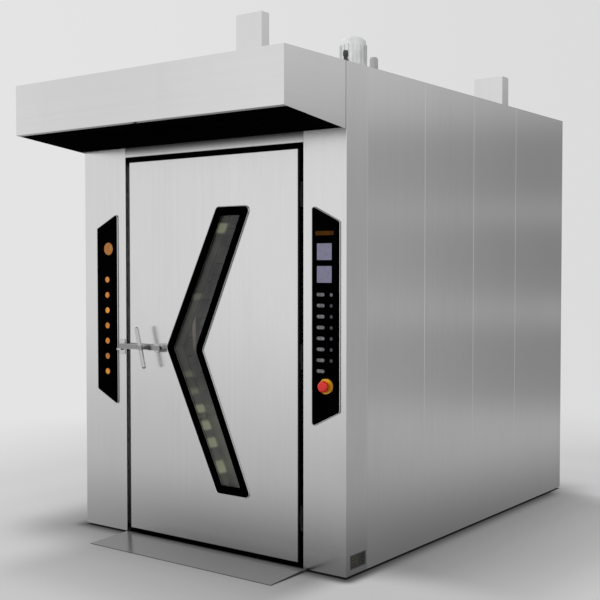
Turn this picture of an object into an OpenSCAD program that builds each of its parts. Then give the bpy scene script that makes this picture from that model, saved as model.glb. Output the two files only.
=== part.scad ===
// Rotating rack oven: a walk-up oven in which one wheeled rack hangs from a turning shaft.
// Lengths are in millimetres. Across the width x = 0 is the middle of the casing, the door
// faces -Y, and z = 0 is the floor. Inside the modules y = 0 is the door face; place() then
// moves the whole oven back so that the origin lies under the middle of its length.

/* [Casing] */
// Width over the side panels
body_w = 1770; // [1740:10:1900]
// Depth from the door face to the rear panels
body_d = 2500; // [2480:10:2700]
// Height of the casing and of the hood's top
body_h = 2400; // [2380:10:2600]
// Height of the levelling feet, which is the dark gap under the casing
foot_h = 10; // [8:1:20]
// Thickness of the stainless sheet
sheet = 2; // [1.5:0.5:3]
// Depth of the folded edges of the casing panels
flange = 30; // [24:1:36]
// Gap between neighbouring casing panels
seam_gap = 0.8; // [0.5:0.1:1.5]
// Thickness of the insulated floor slab
slab_t = 20; // [16:1:30]
// Depth of the front pillars' side returns
pillar_return = 180; // [160:5:200]
// Depth of one chamber module of the side panels
module_d = 540; // [530:5:550]
// Width of the rear corner posts
post_w = 40; // [34:1:60]
// Radius of a levelling foot
foot_r = 30; // [24:1:40]

/* [Door] */
// Width of the left front pillar
left_pillar_w = 322; // [310:1:340]
// Width of the right front pillar
right_pillar_w = 247; // [240:1:260]
// Gap between the door and the left pillar
left_gap = 33; // [30:1:36]
// Gap between the door and the right pillar, which holds the hinges
right_gap = 25; // [22:1:28]
// Gap over the door
top_gap = 30; // [20:1:40]
// Height of the door's lower edge above the floor
door_lift = 35; // [33:1:45]
// Height from the top of the door's opening to the roof
header_h = 355; // [345:5:375]
// Thickness of the door leaf
door_t = 80; // [70:1:90]
// Thickness of the squeezed door seal
seal_t = 12; // [8:1:16]
// Width of the door seal
seal_w = 20; // [14:1:24]
// Width of the frame that the closed door overlaps
land_w = 40; // [34:1:46]
// Radius of a hinge barrel
barrel_r = 6.5; // [6:0.5:7.5]
// Radius of a hinge pin
hinge_pin_r = 3.5; // [3:0.5:4]
// Distance of the hinge axis behind the door face
hinge_set = 6; // [5:0.5:6.5]
// Height of a door knuckle
knuckle_h = 60; // [40:5:80]

/* [Window] */
// Height of the elbow of the window above the floor
window_z = 1030; // [1010:5:1060]
// Height of the window from its lower to its upper end
window_h = 1455; // [1400:5:1500]
// Distance from the door's left edge to the elbow's outer corner
elbow_inset = 274; // [260:1:300]
// Sideways run of the outer edge from the elbow to either end
arm_lean = 351; // [330:1:360]
// Width of the window across the elbow, measured level
elbow_w = 254; // [240:1:270]
// Width of the window across its ends, measured level
arm_w = 223; // [210:1:240]
// Width of the black border
border_w = 45; // [36:1:50]
// Rounding of the window's corners
window_r = 24; // [20:1:30]
// Thickness of a window pane
pane_t = 6; // [4:1:8]
// How far the border stands proud of the door
border_proud = 4; // [3:0.5:6]
// Width of the border that laps over the door skin
border_lap = 20; // [14:1:24]

/* [Latch] */
// Distance from the door's left edge to the latch pivot
pivot_inset = 230; // [210:5:240]
// Height of the latch pivot above the floor
pivot_z = 1026; // [1000:1:1060]
// Distance of the lever from the door face
lever_off = 20; // [16:1:30]
// Thickness of the lever
lever_t = 12; // [8:1:14]
// Height of the lever
lever_h = 28; // [22:1:34]
// Distance from the pivot to the lever's nose
lever_reach = 287; // [280:1:292]
// Distance from the pivot to the grip's crossing
grip_x = 88; // [70:1:110]
// Length of the grip
grip_len = 205; // [180:5:230]
// Radius of the grip
grip_r = 11; // [9:0.5:14]
// Tilt of the grip from upright
grip_tilt = 15; // [0:1:25]
// Distance of the grip's axis from the door face
grip_off = 66; // [60:1:80]
// Radius of the latch spindle
spindle_r = 8; // [6:0.5:10]

/* [Control panels] */
// Width of either black glass panel
panel_w = 161; // [150:1:170]
// Distance from the right edge of the casing to the right panel
panel_inset = 33; // [28:1:40]
// Distance from the left edge of the casing to the left panel
left_panel_inset = 101; // [90:1:120]
// Height of the panels' middle above the floor
panel_z = 1221; // [1200:1:1240]
// Height of a panel's long edge, beside the door
panel_long = 1047; // [1000:1:1080]
// Height of a panel's short edge
panel_short = 888; // [850:1:920]
// Thickness of the panel glass
panel_t = 5; // [4:0.5:8]
// Width of a display
display_w = 84; // [70:1:90]
// Height of a display
display_h = 78; // [70:1:84]
// Distance between the middles of the two displays
display_pitch = 106; // [96:1:112]
// Height of the upper display's middle above the floor
display_z = 1526; // [1515:1:1540]
// Thickness of the displays, keys and lights on the glass
print_t = 0.6; // [0.4:0.1:1]
// Rows of touch keys
key_rows = 8; // [5:1:8]
// Distance between rows of touch keys
key_pitch = 51.4; // [46:0.2:52]
// Height of the top row of touch keys above the floor
key_z = 1325; // [1315:1:1335]
// Length of a touch key
key_w = 44; // [30:1:50]
// Height of a touch key
key_h = 16; // [12:1:22]
// Number of status lights on the left panel
light_count = 7; // [5:1:7]
// Distance between status lights
light_pitch = 84.3; // [70:0.1:86]
// Height of the top status light above the floor
light_z = 1384; // [1370:1:1400]
// Radius of a status light
light_r = 16; // [12:1:20]

/* [Emergency stop] */
// Height of the emergency stop above the floor
stop_z = 896; // [880:1:905]
// Radius of the yellow collar
collar_r = 36; // [32:1:40]
// Thickness of the yellow collar
collar_t = 12; // [10:1:16]
// Radius of the red head
stop_head_r = 27; // [24:1:30]
// Radius of the button's stem
stop_stem_r = 12; // [9:0.5:14]
// Travel of the button
stop_travel = 5; // [3:0.5:6]

/* [Hood] */
// Reach of the hood in front of the door face
hood_reach = 470; // [440:5:500]
// Height of the hood's front face
fascia_h = 259; // [220:1:270]
// Height of the hood where it meets the casing
hood_root_h = 312; // [290:1:320]
// Thickness of the hood's underside panel
soffit_t = 6; // [4:1:10]

/* [Roof fittings] */
// Distance of the roof fittings from the casing's right side
roof_inset = 385; // [370:5:400]
// Width of the hood duct
hood_duct_w = 152; // [130:1:170]
// Depth of the hood duct
hood_duct_d = 55; // [50:1:70]
// Distance of the hood duct's middle in front of the door face
hood_duct_y = 208; // [180:1:240]
// Height of the hood duct above the roof
hood_duct_h = 224; // [180:1:260]
// Width of the flue duct
flue_w = 200; // [180:1:220]
// Depth of the flue duct
flue_d = 88; // [84:1:96]
// Distance of the flue duct's middle from the rear panels
flue_inset = 256; // [246:1:262]
// Height of the flue duct above the roof
flue_h = 278; // [240:1:320]
// Radius of the rack drive motor
motor_r = 68; // [60:1:70]
// Height of the rack drive motor above the roof
motor_h = 273; // [240:1:300]
// Distance of the rack drive motor from the door face
motor_y = 630; // [600:5:660]
// Distance of the cable gland from the door face
gland_y = 430; // [400:5:500]
// Distance of the cable gland from the casing's right side
gland_inset = 128; // [110:1:150]
// Radius of the cable gland's bore
gland_bore_r = 12; // [8:0.5:14]

/* [Baking chamber] */
// Thickness of the insulation
insul_t = 100; // [90:1:104]
// Width of the air ducts behind the side walls
duct_w = 95; // [80:1:96]
// Length of a chamber lamp
lamp_l = 260; // [220:5:300]
// Height from the chamber's ceiling to the roof, which the rack drive takes
roof_space = 400; // [390:5:420]
// Distance of the chamber's front wall from the door face
chamber_front = 150; // [140:1:160]
// Distance of the chamber's rear wall from the door face
chamber_back = 1525; // [1515:5:1550]
// Thickness of the chamber sheet
liner = 2; // [1.5:0.5:3]
// Number of air slots in a side wall
slot_count = 16; // [10:1:18]
// Height of the space over the chamber that is filled with insulation
roof_insul = 148; // [130:1:160]
// Depth of the machine bay behind the bulkhead
bay_depth = 360; // [350:5:370]
// Thickness of the rear bulkhead
bulkhead_t = 45; // [40:1:60]

/* [Rack] */
// Width of the rack
rack_w = 800; // [760:5:810]
// Depth of the rack
rack_d = 1000; // [960:5:1010]
// Space over the rack for its hanging bar and hooks
rack_headroom = 100; // [95:1:110]
// Height of the rack's base above the floor
rack_base_z = 165; // [160:1:180]
// Distance of the shaft's axis from the door face
rack_y = 850; // [845:1:855]
// Distance between runners
level_pitch = 97; // [90:1:97]
// Width of a runner
runner_w = 28; // [20:1:34]
// Thickness of the rack's angle steel
angle_t = 3; // [2:0.5:4]
// Width of the rack's posts
rack_post = 25; // [20:1:30]
// Radius of the hanging bar
hang_bar_r = 7; // [6:0.5:8]
// Radius of a caster wheel
wheel_r = 50; // [45:1:52]
// Width of a caster wheel
wheel_w = 30; // [24:1:34]
// Radius of a wheel axle
axle_r = 5; // [4:0.5:6]
// Trail of a swivel caster
trail = 30; // [24:1:36]
// Lift of the wheels above the chamber floor when the rack hangs
wheel_lift = 8; // [6:1:12]

/* [Rack drive] */
// Radius of the rack shaft
shaft_r = 30; // [25:1:34]
// Radius of the driven pulley
driven_r = 120; // [110:1:126]
// Radius of the motor pulley
driver_r = 40; // [36:1:44]
// Thickness of the belt
belt_t = 4; // [3:0.5:5]
// Width of the belt
belt_w = 30; // [24:1:34]

/* [Heating] */
// Place of the heat exchanger across the width
heater_x = 300; // [290:5:310]
// Radius of the combustion drum
drum_r = 190; // [170:5:200]
// Radius of a heat exchanger tube
tube_r = 28; // [22:1:32]
// Place of the circulation fan across the width, left of the middle
fan_x = 330; // [310:5:360]
// Distance of the circulation fan's axis below the chamber's ceiling
fan_drop = 350; // [330:5:380]
// Radius of the circulation fan
fan_r = 220; // [200:5:230]
// Number of fan blades
blades = 12; // [8:1:16]
// Bore of the water and fuel inlets
inlet_r = 8; // [6:0.5:9]

/* [Entry ramp] */
// Reach of the ramp in front of the door face
ramp_reach = 280; // [240:5:320]
// Height of the ramp at the door face
ramp_h = 14; // [10:1:18]

/* [Hidden] */

// Clearances: between pieces that rest on each other, at a weld line, of a turning shaft in
// its bore, between parts that pass each other, and between a belt and its pulleys.
seat = 0.3;
weld = 0.1;
fit = 0.05;
play = 3;
belt_gap = 0.5;
round_fn = 96;

// Casing
half_w = body_w / 2;
panel_z1 = body_h - sheet;
floor_z = foot_h + slab_t;
side_inner = half_w - flange;
pan_front = pillar_return;
post_y = body_d - post_w;
feet_inset = 60;
front_feet_y = 110;
seams = [pan_front, pan_front + module_d, pan_front + 2 * module_d, pan_front + 3 * module_d, post_y];
fold = 1.2;

// Rear panels and roof
rear_x = half_w - post_w;
rear_panel_w = 2 * rear_x / 3;
louvre_w = 380;
louvre_h = 8;
louvre_pitch = 24;
louvre_rows = 9;
louvre_low = 160;
louvre_high = 420;
roof_seams = [0, seams[1], seams[2], seams[3], body_d];

// Door and its frame
door_x0 = left_pillar_w + left_gap - half_w;
door_x1 = half_w - right_pillar_w - right_gap;
header_z = body_h - header_h;
door_z1 = header_z - top_gap;
frame_x0 = door_x0 - left_gap;
frame_x1 = door_x1 + right_gap;
open_x0 = door_x0 + land_w;
open_x1 = door_x1 - land_w;
open_z1 = door_z1 - land_w;
land_y = door_t + seal_t;
hinge_x = door_x1 + right_gap / 2;
hinge_inset = 215;
hinge_heights = [door_lift + hinge_inset, (door_lift + door_z1) / 2, door_z1 - hinge_inset];
frame_knuckle_h = knuckle_h / 2;
leaf_d = 50;
leaf_t = 2;
skin_lip = 20;
frame_lap = 20;
seal_inset = 8;
seal_foot = 1;

// Front fittings: the slab starts behind the door's lower edge, and the ramp reaches it
sill_d = 32;
slab_front = land_y - sill_d;
ramp_inset = 16;
ramp_over = 23;
ramp_lip = 3;
vent_y0 = 35;
vent_z0 = 36;
vent_len = 133;
vent_h = 67;
vent_lap = 6;
vent_slots = 5;
vent_slot_h = 5;
vent_slot_pitch = 11;
vent_slot_z = 8;
vent_margin = 10;
vent_set = 0.5;

// Window outline, counter-clockwise as seen from the front
elbow_x = door_x0 + elbow_inset;
window_top = window_z + window_h / 2;
window_low = window_z - window_h / 2;
window_points = [
    [elbow_x + arm_lean + arm_w, window_top],
    [elbow_x + arm_lean, window_top],
    [elbow_x, window_z],
    [elbow_x + arm_lean, window_low],
    [elbow_x + arm_lean + arm_w, window_low],
    [elbow_x + elbow_w, window_z]
];
groove = 5;
groove_play = 0.2;
outer_pane_y = 5;
inner_pane_y = door_t - outer_pane_y - pane_t;

// Latch
pivot_x = door_x0 + pivot_inset;
lever_y0 = -lever_off - lever_t;
nose_x = pivot_x - lever_reach;
keeper_w = 40;
bush_r = spindle_r + 8;
bush_len = 24;
boss_r = 24;
boss_over = 4;
spindle_end = 34;
release_r = 26;
release_t = 14;
keeper_t = 6;
keeper_low = 32;
keeper_high = 22;
shelf_t = 8;
shelf_over = 2;
keeper_gap = 4;

// Baking chamber
duct_outer = side_inner - insul_t;
chamber_half = duct_outer - duct_w;
chamber_z0 = floor_z + liner;
chamber_z1 = body_h - roof_space;
chamber_h = chamber_z1 - chamber_z0;
insul_z1 = chamber_z1 + liner + roof_insul;
chamber_wall_y = chamber_front + liner;
bulkhead_back = body_d - bay_depth;
bulkhead_y = bulkhead_back - bulkhead_t;
shaft_hole_r = 58;
slot_w = 560;
slot_h = 12;
slot_low = 110;
slot_margin = 200;
slot_front = 90;
slot_back = 20;
inlet_hole_r = 140;
return_rows = 6;
return_pitch = 130;
return_half = 200;
return_low = 468;
return_h = 20;
lamp_count = 3;
lamp_d = 26;
lamp_w = 70;
lamp_inset = 8;
lamp_low = 418;
lamp_high = 190;
lamp_pitch = (chamber_h - lamp_low - lamp_high - lamp_l) / (lamp_count - 1);

// Rack, caster and drive
rack_top_z = chamber_z1 - rack_headroom;
rack_y0 = rack_y - rack_d / 2;
rack_y1 = rack_y + rack_d / 2;
deck_h = 30;
runner_leg = 20;
post_z0 = rack_base_z + deck_h;
post_z1 = rack_top_z - deck_h;
first_level = post_z0 + 60;
level_headroom = 40;
levels = floor((post_z1 - level_headroom - first_level) / level_pitch) + 1;
wheel_z = chamber_z0 + wheel_lift + wheel_r;
caster_inset = 70;
caster_end = 80;
caster_x = rack_w / 2 - caster_inset;
caster_front_y = rack_y0 + caster_end;
caster_rear_y = rack_y1 - caster_end;
fork_t = 4;
fork_gap = 2;
fork_half_l = 16;
fork_tail = 24;
fork_low = 14;
pivot_pin_r = 7;
pivot_pin_z = rack_base_z + 24;
socket_r = 16;
fork_plate_z = rack_base_z - seat - fork_t;
hang_z = rack_top_z + 25;
hook_top = hang_z + 25;
beam_h = 15;
beam_half = 120;
hook_t = 10;
hook_half = 30;
hook_low = 20;
hook_inset = 5;
carrier_wall = 14;
cross_pin_r = 5;
bar_half = 156;
ear_t = 6;
ear_half = 20;
ear_over = 15;
shaft_z0 = hook_top + beam_h;
beam_half_d = 142;
beam_t = 8;
bearing_y0 = rack_y - beam_half_d;
bearing_y1 = rack_y + beam_half_d;
bearing_z0 = insul_z1;
bearing_z1 = bearing_z0 + 30;
bearing_low = 40;
bearing_wall = 25;
collar_h = 16;
collar_wall = 20;
collar_z1 = bearing_z1 + seat + collar_h;
pulley_lift = 4;
pulley_wall = 8;
pulley_rim = 10;
pulley_z0 = collar_z1 + pulley_lift;
pulley_z1 = pulley_z0 + belt_w + pulley_rim;
shaft_over = 12;
motor_base_t = 12;
motor_base_z = body_h + motor_base_t;
motor_base_half = 80;
motor_shaft_r = 12;
motor_crown = 34;
fin_t = 3;
fin_d = 5;
fin_low = 30;
fin_high = 20;
box_out = 42;
box_in = 12;
box_front = 46;
box_back = 34;
box_z = 60;
box_h = 80;

// Heating
drum_lift = 80;
drum_z = chamber_z0 + drum_lift + drum_r;
heater_gap = 42;
drum_y0 = chamber_back + heater_gap;
drum_y1 = bulkhead_y - 35;
foot_w = 40;
foot_y0 = drum_y0 + 60;
foot_y1 = drum_y1 - 100;
blast_r = 50;
heater_wall = 3;
tube_pitch = 100;
tube_row = 90;
tube_end = 60;
collector_drop = 500;
collector_h = 100;
collector_z1 = chamber_z1 - collector_drop;
collector_z0 = collector_z1 - collector_h;
collector_half = 245;
flue_r = flue_d / 2 - sheet - 4;
flue_drop = 100;
flue_low = body_h - flue_drop;
flue_pipe_z = (collector_z0 + collector_z1) / 2;
roof_x = half_w - roof_inset;
flue_y = body_d - flue_inset;
flue_lip = 2;
duct_flange = 14;
damper_lift = 60;
damper_z = body_h + damper_lift;
damper_t = 3;
damper_over = 4;
damper_shaft_r = 5;
fan_z = chamber_z1 - fan_drop;
fan_y0 = chamber_back + liner + 35;
fan_d = 90;
fan_plate = 4;
fan_hub_r = 40;
fan_hub_d = 36;
blade_t = 4;
blade_turn = 35;
fan_eye = 0.66;
fan_shaft_r = 15;
fan_flange_y = bulkhead_back + 50;
fan_shaft_y1 = fan_flange_y + 55;
fan_mount_half = 130;
fan_mount_t = 8;
fan_flange_t = 25;
fan_stud = 110;
fan_stud_r = 8;
fan_motor_r = 90;
fan_motor_d = 215;
inlet_wall = 4;
inlet_bore_d = 40;
fuel_z = 620;
fuel_y = body_d - 110;
burner_half = 120;
burner_low = 130;
burner_high = 150;
burner_gap = 20;
burner_rear = 80;
blower_r = 95;
blower_w = 80;
water_x = -360;
water_z = 1150;
steam_half = 200;
steam_post = 8;
steam_post_d = 40;
steam_top = 1210;
steam_rows = 8;
steam_low = 260;
steam_pitch = 120;
steam_plate_t = 12;
steam_front = 40;
steam_back = 60;

// Cable gland
gland_x = half_w - gland_inset;
gland_wall = 4;
gland_tail = 14;
gland_nut_h = 26;
gland_nut = 12;
gland_cap_h = 58;
gland_cap = 9;
gland_cone_h = 12;
gland_top = body_h + gland_nut_h + gland_cap_h;

// Hood
hood_front_z = body_h - fascia_h;
hood_rear_z = body_h - hood_root_h;
hood_lip = 20;
hood_lip_drop = 3;
soffit_rise = 8;
soffit_slot = 20;
soffit_slot_pitch = 60;
soffit_slot_reach = 600;
soffit_slot_front = 360;
soffit_slot_back = 110;

// Control board behind the right panel
board_y = 30;
board_t = 3;
board_margin = 10;
board_half = 380;
post_margin = 22;
post_step = 360;
post_r = 5;
chip_half = 30;
chip_h = 90;
chip_pitch = 150;
chip_reach = 300;
chip_d = 27;

// Panels on the pillars
right_panel_x1 = half_w - panel_inset;
right_panel_x0 = right_panel_x1 - panel_w;
left_panel_x0 = left_panel_inset - half_w;
left_panel_x1 = left_panel_x0 + panel_w;
right_panel_points = [
    [right_panel_x0, panel_z - panel_long / 2],
    [right_panel_x1, panel_z - panel_short / 2],
    [right_panel_x1, panel_z + panel_short / 2],
    [right_panel_x0, panel_z + panel_long / 2]
];
left_panel_points = [
    [left_panel_x0, panel_z - panel_short / 2],
    [left_panel_x1, panel_z - panel_long / 2],
    [left_panel_x1, panel_z + panel_long / 2],
    [left_panel_x0, panel_z + panel_short / 2]
];
panel_corner_r = 14;
display_inset = 73;
key_inset = 52;
small_key_inset = 48;
stop_inset = 88;
display_x = right_panel_x0 + display_inset;
key_x = right_panel_x0 + key_inset;
small_key_x = right_panel_x1 - small_key_inset;
stop_x = right_panel_x0 + stop_inset;
light_x = (left_panel_x0 + left_panel_x1) / 2;
print_r = 3;

// Head of the emergency stop
stop_lift = 2;
stop_bevel = 5;
stop_rim = 14;
crown_w = 12;
crown_h = 10;

// ---- outline functions ----

function unit(v) = v / norm(v);
function turn(a, b) = a[0] * b[1] - a[1] * b[0];
function left_of(v) = [-v[1], v[0]];
function pick(points, i) = points[(i + len(points)) % len(points)];

// One corner of a counter-clockwise outline, moved inwards by d
function mitre(a, b, c, d) =
    let (n = left_of(unit(b - a)), m = left_of(unit(c - b)))
    b + d * (n + m) / (1 + n * m);
function inset(points, d) =
    [for (i = [0 : len(points) - 1]) mitre(pick(points, i - 1), points[i], pick(points, i + 1), d)];

// The arc that rounds corner b between a and c
function corner_arc(a, b, c, r, steps) =
    let (
        u = unit(a - b),
        v = unit(c - b),
        half = acos(u * v) / 2,
        from = b + u * r / tan(half),
        centre = b + unit(u + v) * r / sin(half),
        spoke = from - centre,
        start = atan2(spoke[1], spoke[0]),
        sweep = (180 - 2 * half) * (turn(b - a, c - b) > 0 ? 1 : -1)
    )
    [for (k = [0 : steps]) centre + r * [cos(start + sweep * k / steps), sin(start + sweep * k / steps)]];
function outward(a, b, c) = turn(b - a, c - b) > 0;
function rounded(points, r, r_inner, steps = 6) =
    [for (i = [0 : len(points) - 1])
        let (a = pick(points, i - 1), b = points[i], c = pick(points, i + 1))
        each corner_arc(a, b, c, outward(a, b, c) ? r : r_inner, steps)];

// The window's outline, inset by d, with its corners rounded about the same centres
function window_outline(d) = rounded(inset(window_points, d), max(4, window_r - d), window_r + d);

// ---- shape modules ----

module place() {
    translate([0, -(body_d - hood_reach) / 2, 0]) children();
}

module block(lo, hi) {
    translate(lo) cube(hi - lo);
}

module plan(points, z0, z1) {
    translate([0, 0, z0]) linear_extrude(z1 - z0) polygon(points);
}

// An outline in x and z, from y0 to y1
module facing(points, y0, y1) {
    translate([0, y1, 0]) rotate([90, 0, 0]) linear_extrude(y1 - y0) polygon(points);
}

// An outline in y and z, from x0 to x1
module sideways(points, x0, x1) {
    translate([x0, 0, 0]) rotate([90, 0, 90]) linear_extrude(x1 - x0) polygon(points);
}

module rod_x(x0, x1, y, z, r) {
    translate([x0, y, z]) rotate([0, 90, 0]) cylinder(r = r, h = x1 - x0, $fn = round_fn);
}

module rod_y(y0, y1, x, z, r) {
    translate([x, y0, z]) rotate([-90, 0, 0]) cylinder(r = r, h = y1 - y0, $fn = round_fn);
}

module rod_z(z0, z1, x, y, r) {
    translate([x, y, z0]) cylinder(r = r, h = z1 - z0, $fn = round_fn);
}

// ---- casing ----

module levelling_feet() {
    color("dimgray") place()
        for (x = [-side_inner + feet_inset, -side_inner / 3, side_inner / 3, side_inner - feet_inset])
            for (y = [front_feet_y, pan_front + module_d * 1.5, post_y - feet_inset])
                rod_z(0, foot_h, x, y, foot_r);
}

module floor_slab() {
    color("gray") place() plan([
        [-side_inner, sheet], [frame_x0 - sheet, sheet], [frame_x0 - sheet, land_y], [frame_x0, land_y],
        [frame_x0, slab_front], [frame_x1, slab_front], [frame_x1, land_y], [frame_x1 + sheet, land_y],
        [frame_x1 + sheet, sheet], [side_inner, sheet], [side_inner, body_d - flange],
        [-side_inner, body_d - flange]
    ], foot_h, floor_z);
}

// A front pillar is one folded sheet: side return, face and inner return. The side is
// -1 on the left and 1 on the right, and inner_x is where the face meets the door gap.
// The right one has a window in its side return for the service vent.
module pillar(side, inner_x) {
    outer = side * half_w;
    plan([
        [outer, pillar_return], [outer, fold], [outer - side * fold, 0], [inner_x + side * fold, 0],
        [inner_x, fold], [inner_x, land_y], [inner_x + side * sheet, land_y],
        [inner_x + side * sheet, sheet], [outer - side * sheet, sheet], [outer - side * sheet, pillar_return]
    ], foot_h, panel_z1);
}

module left_pillar() {
    color("lightgray") place() pillar(-1, frame_x0);
}

module right_pillar() {
    color("lightgray") place() difference() {
        pillar(1, frame_x1);
        block([half_w - 2 * sheet, vent_y0 - seat, vent_z0 - seat],
              [half_w + 1, vent_y0 + vent_len + seat, vent_z0 + vent_h + seat]);
    }
}

module front_header() {
    color("lightgray") place()
        sideways([
            [0, header_z + fold], [fold, header_z], [land_y, header_z], [land_y, header_z + sheet],
            [sheet, header_z + sheet], [sheet, panel_z1], [0, panel_z1]
        ], frame_x0, frame_x1);
}

// One casing pan from y0 to y1, with its edges folded inwards and small folds at its corners
module side_pan(side, y0, y1) {
    outer = side * half_w;
    skin = outer - side * sheet;
    edge = side * side_inner;
    plan([
        [edge, y0], [outer - side * fold, y0], [outer, y0 + fold], [outer, y1 - fold],
        [outer - side * fold, y1], [edge, y1], [edge, y1 - sheet], [skin, y1 - sheet],
        [skin, y0 + sheet], [edge, y0 + sheet]
    ], foot_h, panel_z1);
}

module side_panels(side) {
    last = len(seams) - 2;
    for (i = [0 : last])
        side_pan(
            side,
            seams[i] + (i == 0 ? 0 : seam_gap / 2),
            seams[i + 1] - (i == last ? 0 : seam_gap / 2)
        );
}

module left_side_panels() {
    color("silver") place() side_panels(-1);
}

module right_side_panels() {
    color("silver") place() side_panels(1);
}

module corner_post(side) {
    outer = side * half_w;
    back_x = outer - side * post_w;
    plan([
        [outer, post_y], [outer, body_d - fold], [outer - side * fold, body_d], [back_x, body_d],
        [back_x, body_d - sheet], [outer - side * sheet, body_d - sheet], [outer - side * sheet, post_y]
    ], foot_h, panel_z1);
}

module rear_panel(i) {
    x0 = -rear_x + i * rear_panel_w + (i == 0 ? 0 : seam_gap / 2);
    x1 = -rear_x + (i + 1) * rear_panel_w - (i == 2 ? 0 : seam_gap / 2);
    mid = (x0 + x1) / 2;
    front = body_d - flange;
    difference() {
        plan([
            [x0, front], [x0, body_d], [x1, body_d], [x1, front], [x1 - sheet, front],
            [x1 - sheet, body_d - sheet], [x0 + sheet, body_d - sheet], [x0 + sheet, front]
        ], foot_h, panel_z1);
        for (low = [louvre_low, body_h - louvre_high])
            for (row = [0 : louvre_rows - 1])
                block([mid - louvre_w / 2, front, low + row * louvre_pitch],
                      [mid + louvre_w / 2, body_d + 1, low + row * louvre_pitch + louvre_h]);
        if (x0 < water_x && water_x < x1)
            rod_y(front, body_d + 1, water_x, water_z, inlet_r + inlet_wall + seat);
        if (x0 < heater_x && heater_x < x1)
            rod_y(front, body_d + 1, heater_x, fuel_z, inlet_r + inlet_wall + seat);
    }
}

module rear_casing() {
    color("silver") place() {
        corner_post(-1);
        corner_post(1);
        for (i = [0 : 2]) rear_panel(i);
    }
}

module roof_panel(y0, y1) {
    inner = half_w - flange - 1;
    block([-half_w, y0, panel_z1], [half_w, y1, body_h]);
    for (y = [y0 + (y0 == 0 ? land_y : 0), y1 - sheet - (y1 == body_d ? flange : 0)])
        block([-inner, y, body_h - flange], [inner, y + sheet, panel_z1]);
}

module roof_panels() {
    color("silver") place() difference() {
        for (i = [0 : 3])
            roof_panel(
                roof_seams[i] + (i == 0 ? 0 : seam_gap / 2),
                roof_seams[i + 1] - (i == 3 ? 0 : seam_gap / 2)
            );
        rod_z(body_h - flange, body_h + 1, roof_x, motor_y, motor_shaft_r + play);
        rod_z(body_h - flange, body_h + 1, gland_x, gland_y, gland_bore_r + gland_wall + seat);
        block([roof_x - flue_w / 2 - seat, flue_y - flue_d / 2 - seat, body_h - flange],
              [roof_x + flue_w / 2 + seat, flue_y + flue_d / 2 + seat, body_h + 1]);
    }
}

module wall_insulation() {
    color("khaki") place() {
        block([-side_inner, seams[0], floor_z], [-duct_outer, bulkhead_back, insul_z1]);
        block([duct_outer, seams[0], floor_z], [side_inner, bulkhead_back, insul_z1]);
        block([-side_inner, land_y + sheet, floor_z], [open_x0 - liner, chamber_front, insul_z1]);
        block([open_x1 + liner, land_y + sheet, floor_z], [side_inner, chamber_front, insul_z1]);
        difference() {
            block([-duct_outer, chamber_front, chamber_z1 + liner], [duct_outer, bulkhead_y, insul_z1]);
            rod_z(chamber_z1, insul_z1 + 1, 0, rack_y, shaft_hole_r);
        }
        difference() {
            block([-duct_outer, bulkhead_y, floor_z], [duct_outer, bulkhead_back, insul_z1]);
            rod_y(bulkhead_y - 1, bulkhead_back + 1, heater_x, drum_z, blast_r + seat);
            rod_y(bulkhead_y - 1, bulkhead_back + 1, roof_x, flue_pipe_z, flue_r + seat);
            rod_y(bulkhead_y - 1, bulkhead_back + 1, -fan_x, fan_z, fan_shaft_r + play);
            rod_y(bulkhead_y - 1, bulkhead_back + 1, water_x, water_z, inlet_r + inlet_wall + seat);
        }
    }
}

// ---- door frame and chamber ----

module door_frame() {
    color("gainsboro") place() difference() {
        union() {
            block([frame_x0 - frame_lap, land_y, floor_z],
                  [frame_x1 + frame_lap, land_y + sheet, header_z + frame_lap]);
            block([open_x0 - liner, land_y, floor_z], [open_x1 + liner, chamber_front, open_z1 + liner]);
            block([-duct_outer, chamber_front, floor_z], [duct_outer, chamber_wall_y, chamber_z1]);
        }
        block([open_x0, land_y - 1, floor_z - 1], [open_x1, chamber_wall_y + 1, open_z1]);
    }
}

// A side wall is a flat air duct: a channel with slots on its chamber side
module duct_wall(side) {
    inner = side * chamber_half;
    outer = side * duct_outer;
    slot_pitch = (chamber_h - slot_margin) / slot_count;
    difference() {
        plan([
            [outer, chamber_wall_y], [inner, chamber_wall_y], [inner, chamber_back], [outer, chamber_back],
            [outer, chamber_back - liner], [inner + side * liner, chamber_back - liner],
            [inner + side * liner, chamber_wall_y + liner], [outer, chamber_wall_y + liner]
        ], chamber_z0, chamber_z1);
        for (i = [0 : slot_count - 1])
            for (y = [chamber_wall_y + slot_front, (chamber_wall_y + chamber_back) / 2 + slot_back])
                block([inner - liner * 2, y, chamber_z0 + slot_low + i * slot_pitch],
                      [inner + liner * 2, y + slot_w, chamber_z0 + slot_low + slot_h + i * slot_pitch]);
    }
}

module chamber_side_walls() {
    color("gainsboro") place() {
        duct_wall(-1);
        duct_wall(1);
    }
}

module chamber_rear_wall() {
    color("gainsboro") place() difference() {
        block([-duct_outer, chamber_back, chamber_z0], [duct_outer, chamber_back + liner, chamber_z1]);
        rod_y(chamber_back - 1, chamber_back + liner + 1, -fan_x, fan_z, inlet_hole_r);
        for (row = [0 : return_rows - 1])
            block([heater_x - return_half, chamber_back - 1, chamber_z0 + return_low + row * return_pitch],
                  [heater_x + return_half, chamber_back + liner + 1,
                   chamber_z0 + return_low + return_h + row * return_pitch]);
    }
}

module chamber_ceiling() {
    color("gainsboro") place() difference() {
        block([-duct_outer, chamber_front, chamber_z1], [duct_outer, bulkhead_y, chamber_z1 + liner]);
        rod_z(chamber_z1 - 1, chamber_z1 + liner + 1, 0, rack_y, shaft_r + play);
    }
}

module chamber_floor() {
    color("gainsboro") place()
        block([-duct_outer, chamber_wall_y, floor_z], [duct_outer, bulkhead_y, chamber_z0]);
}

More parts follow.
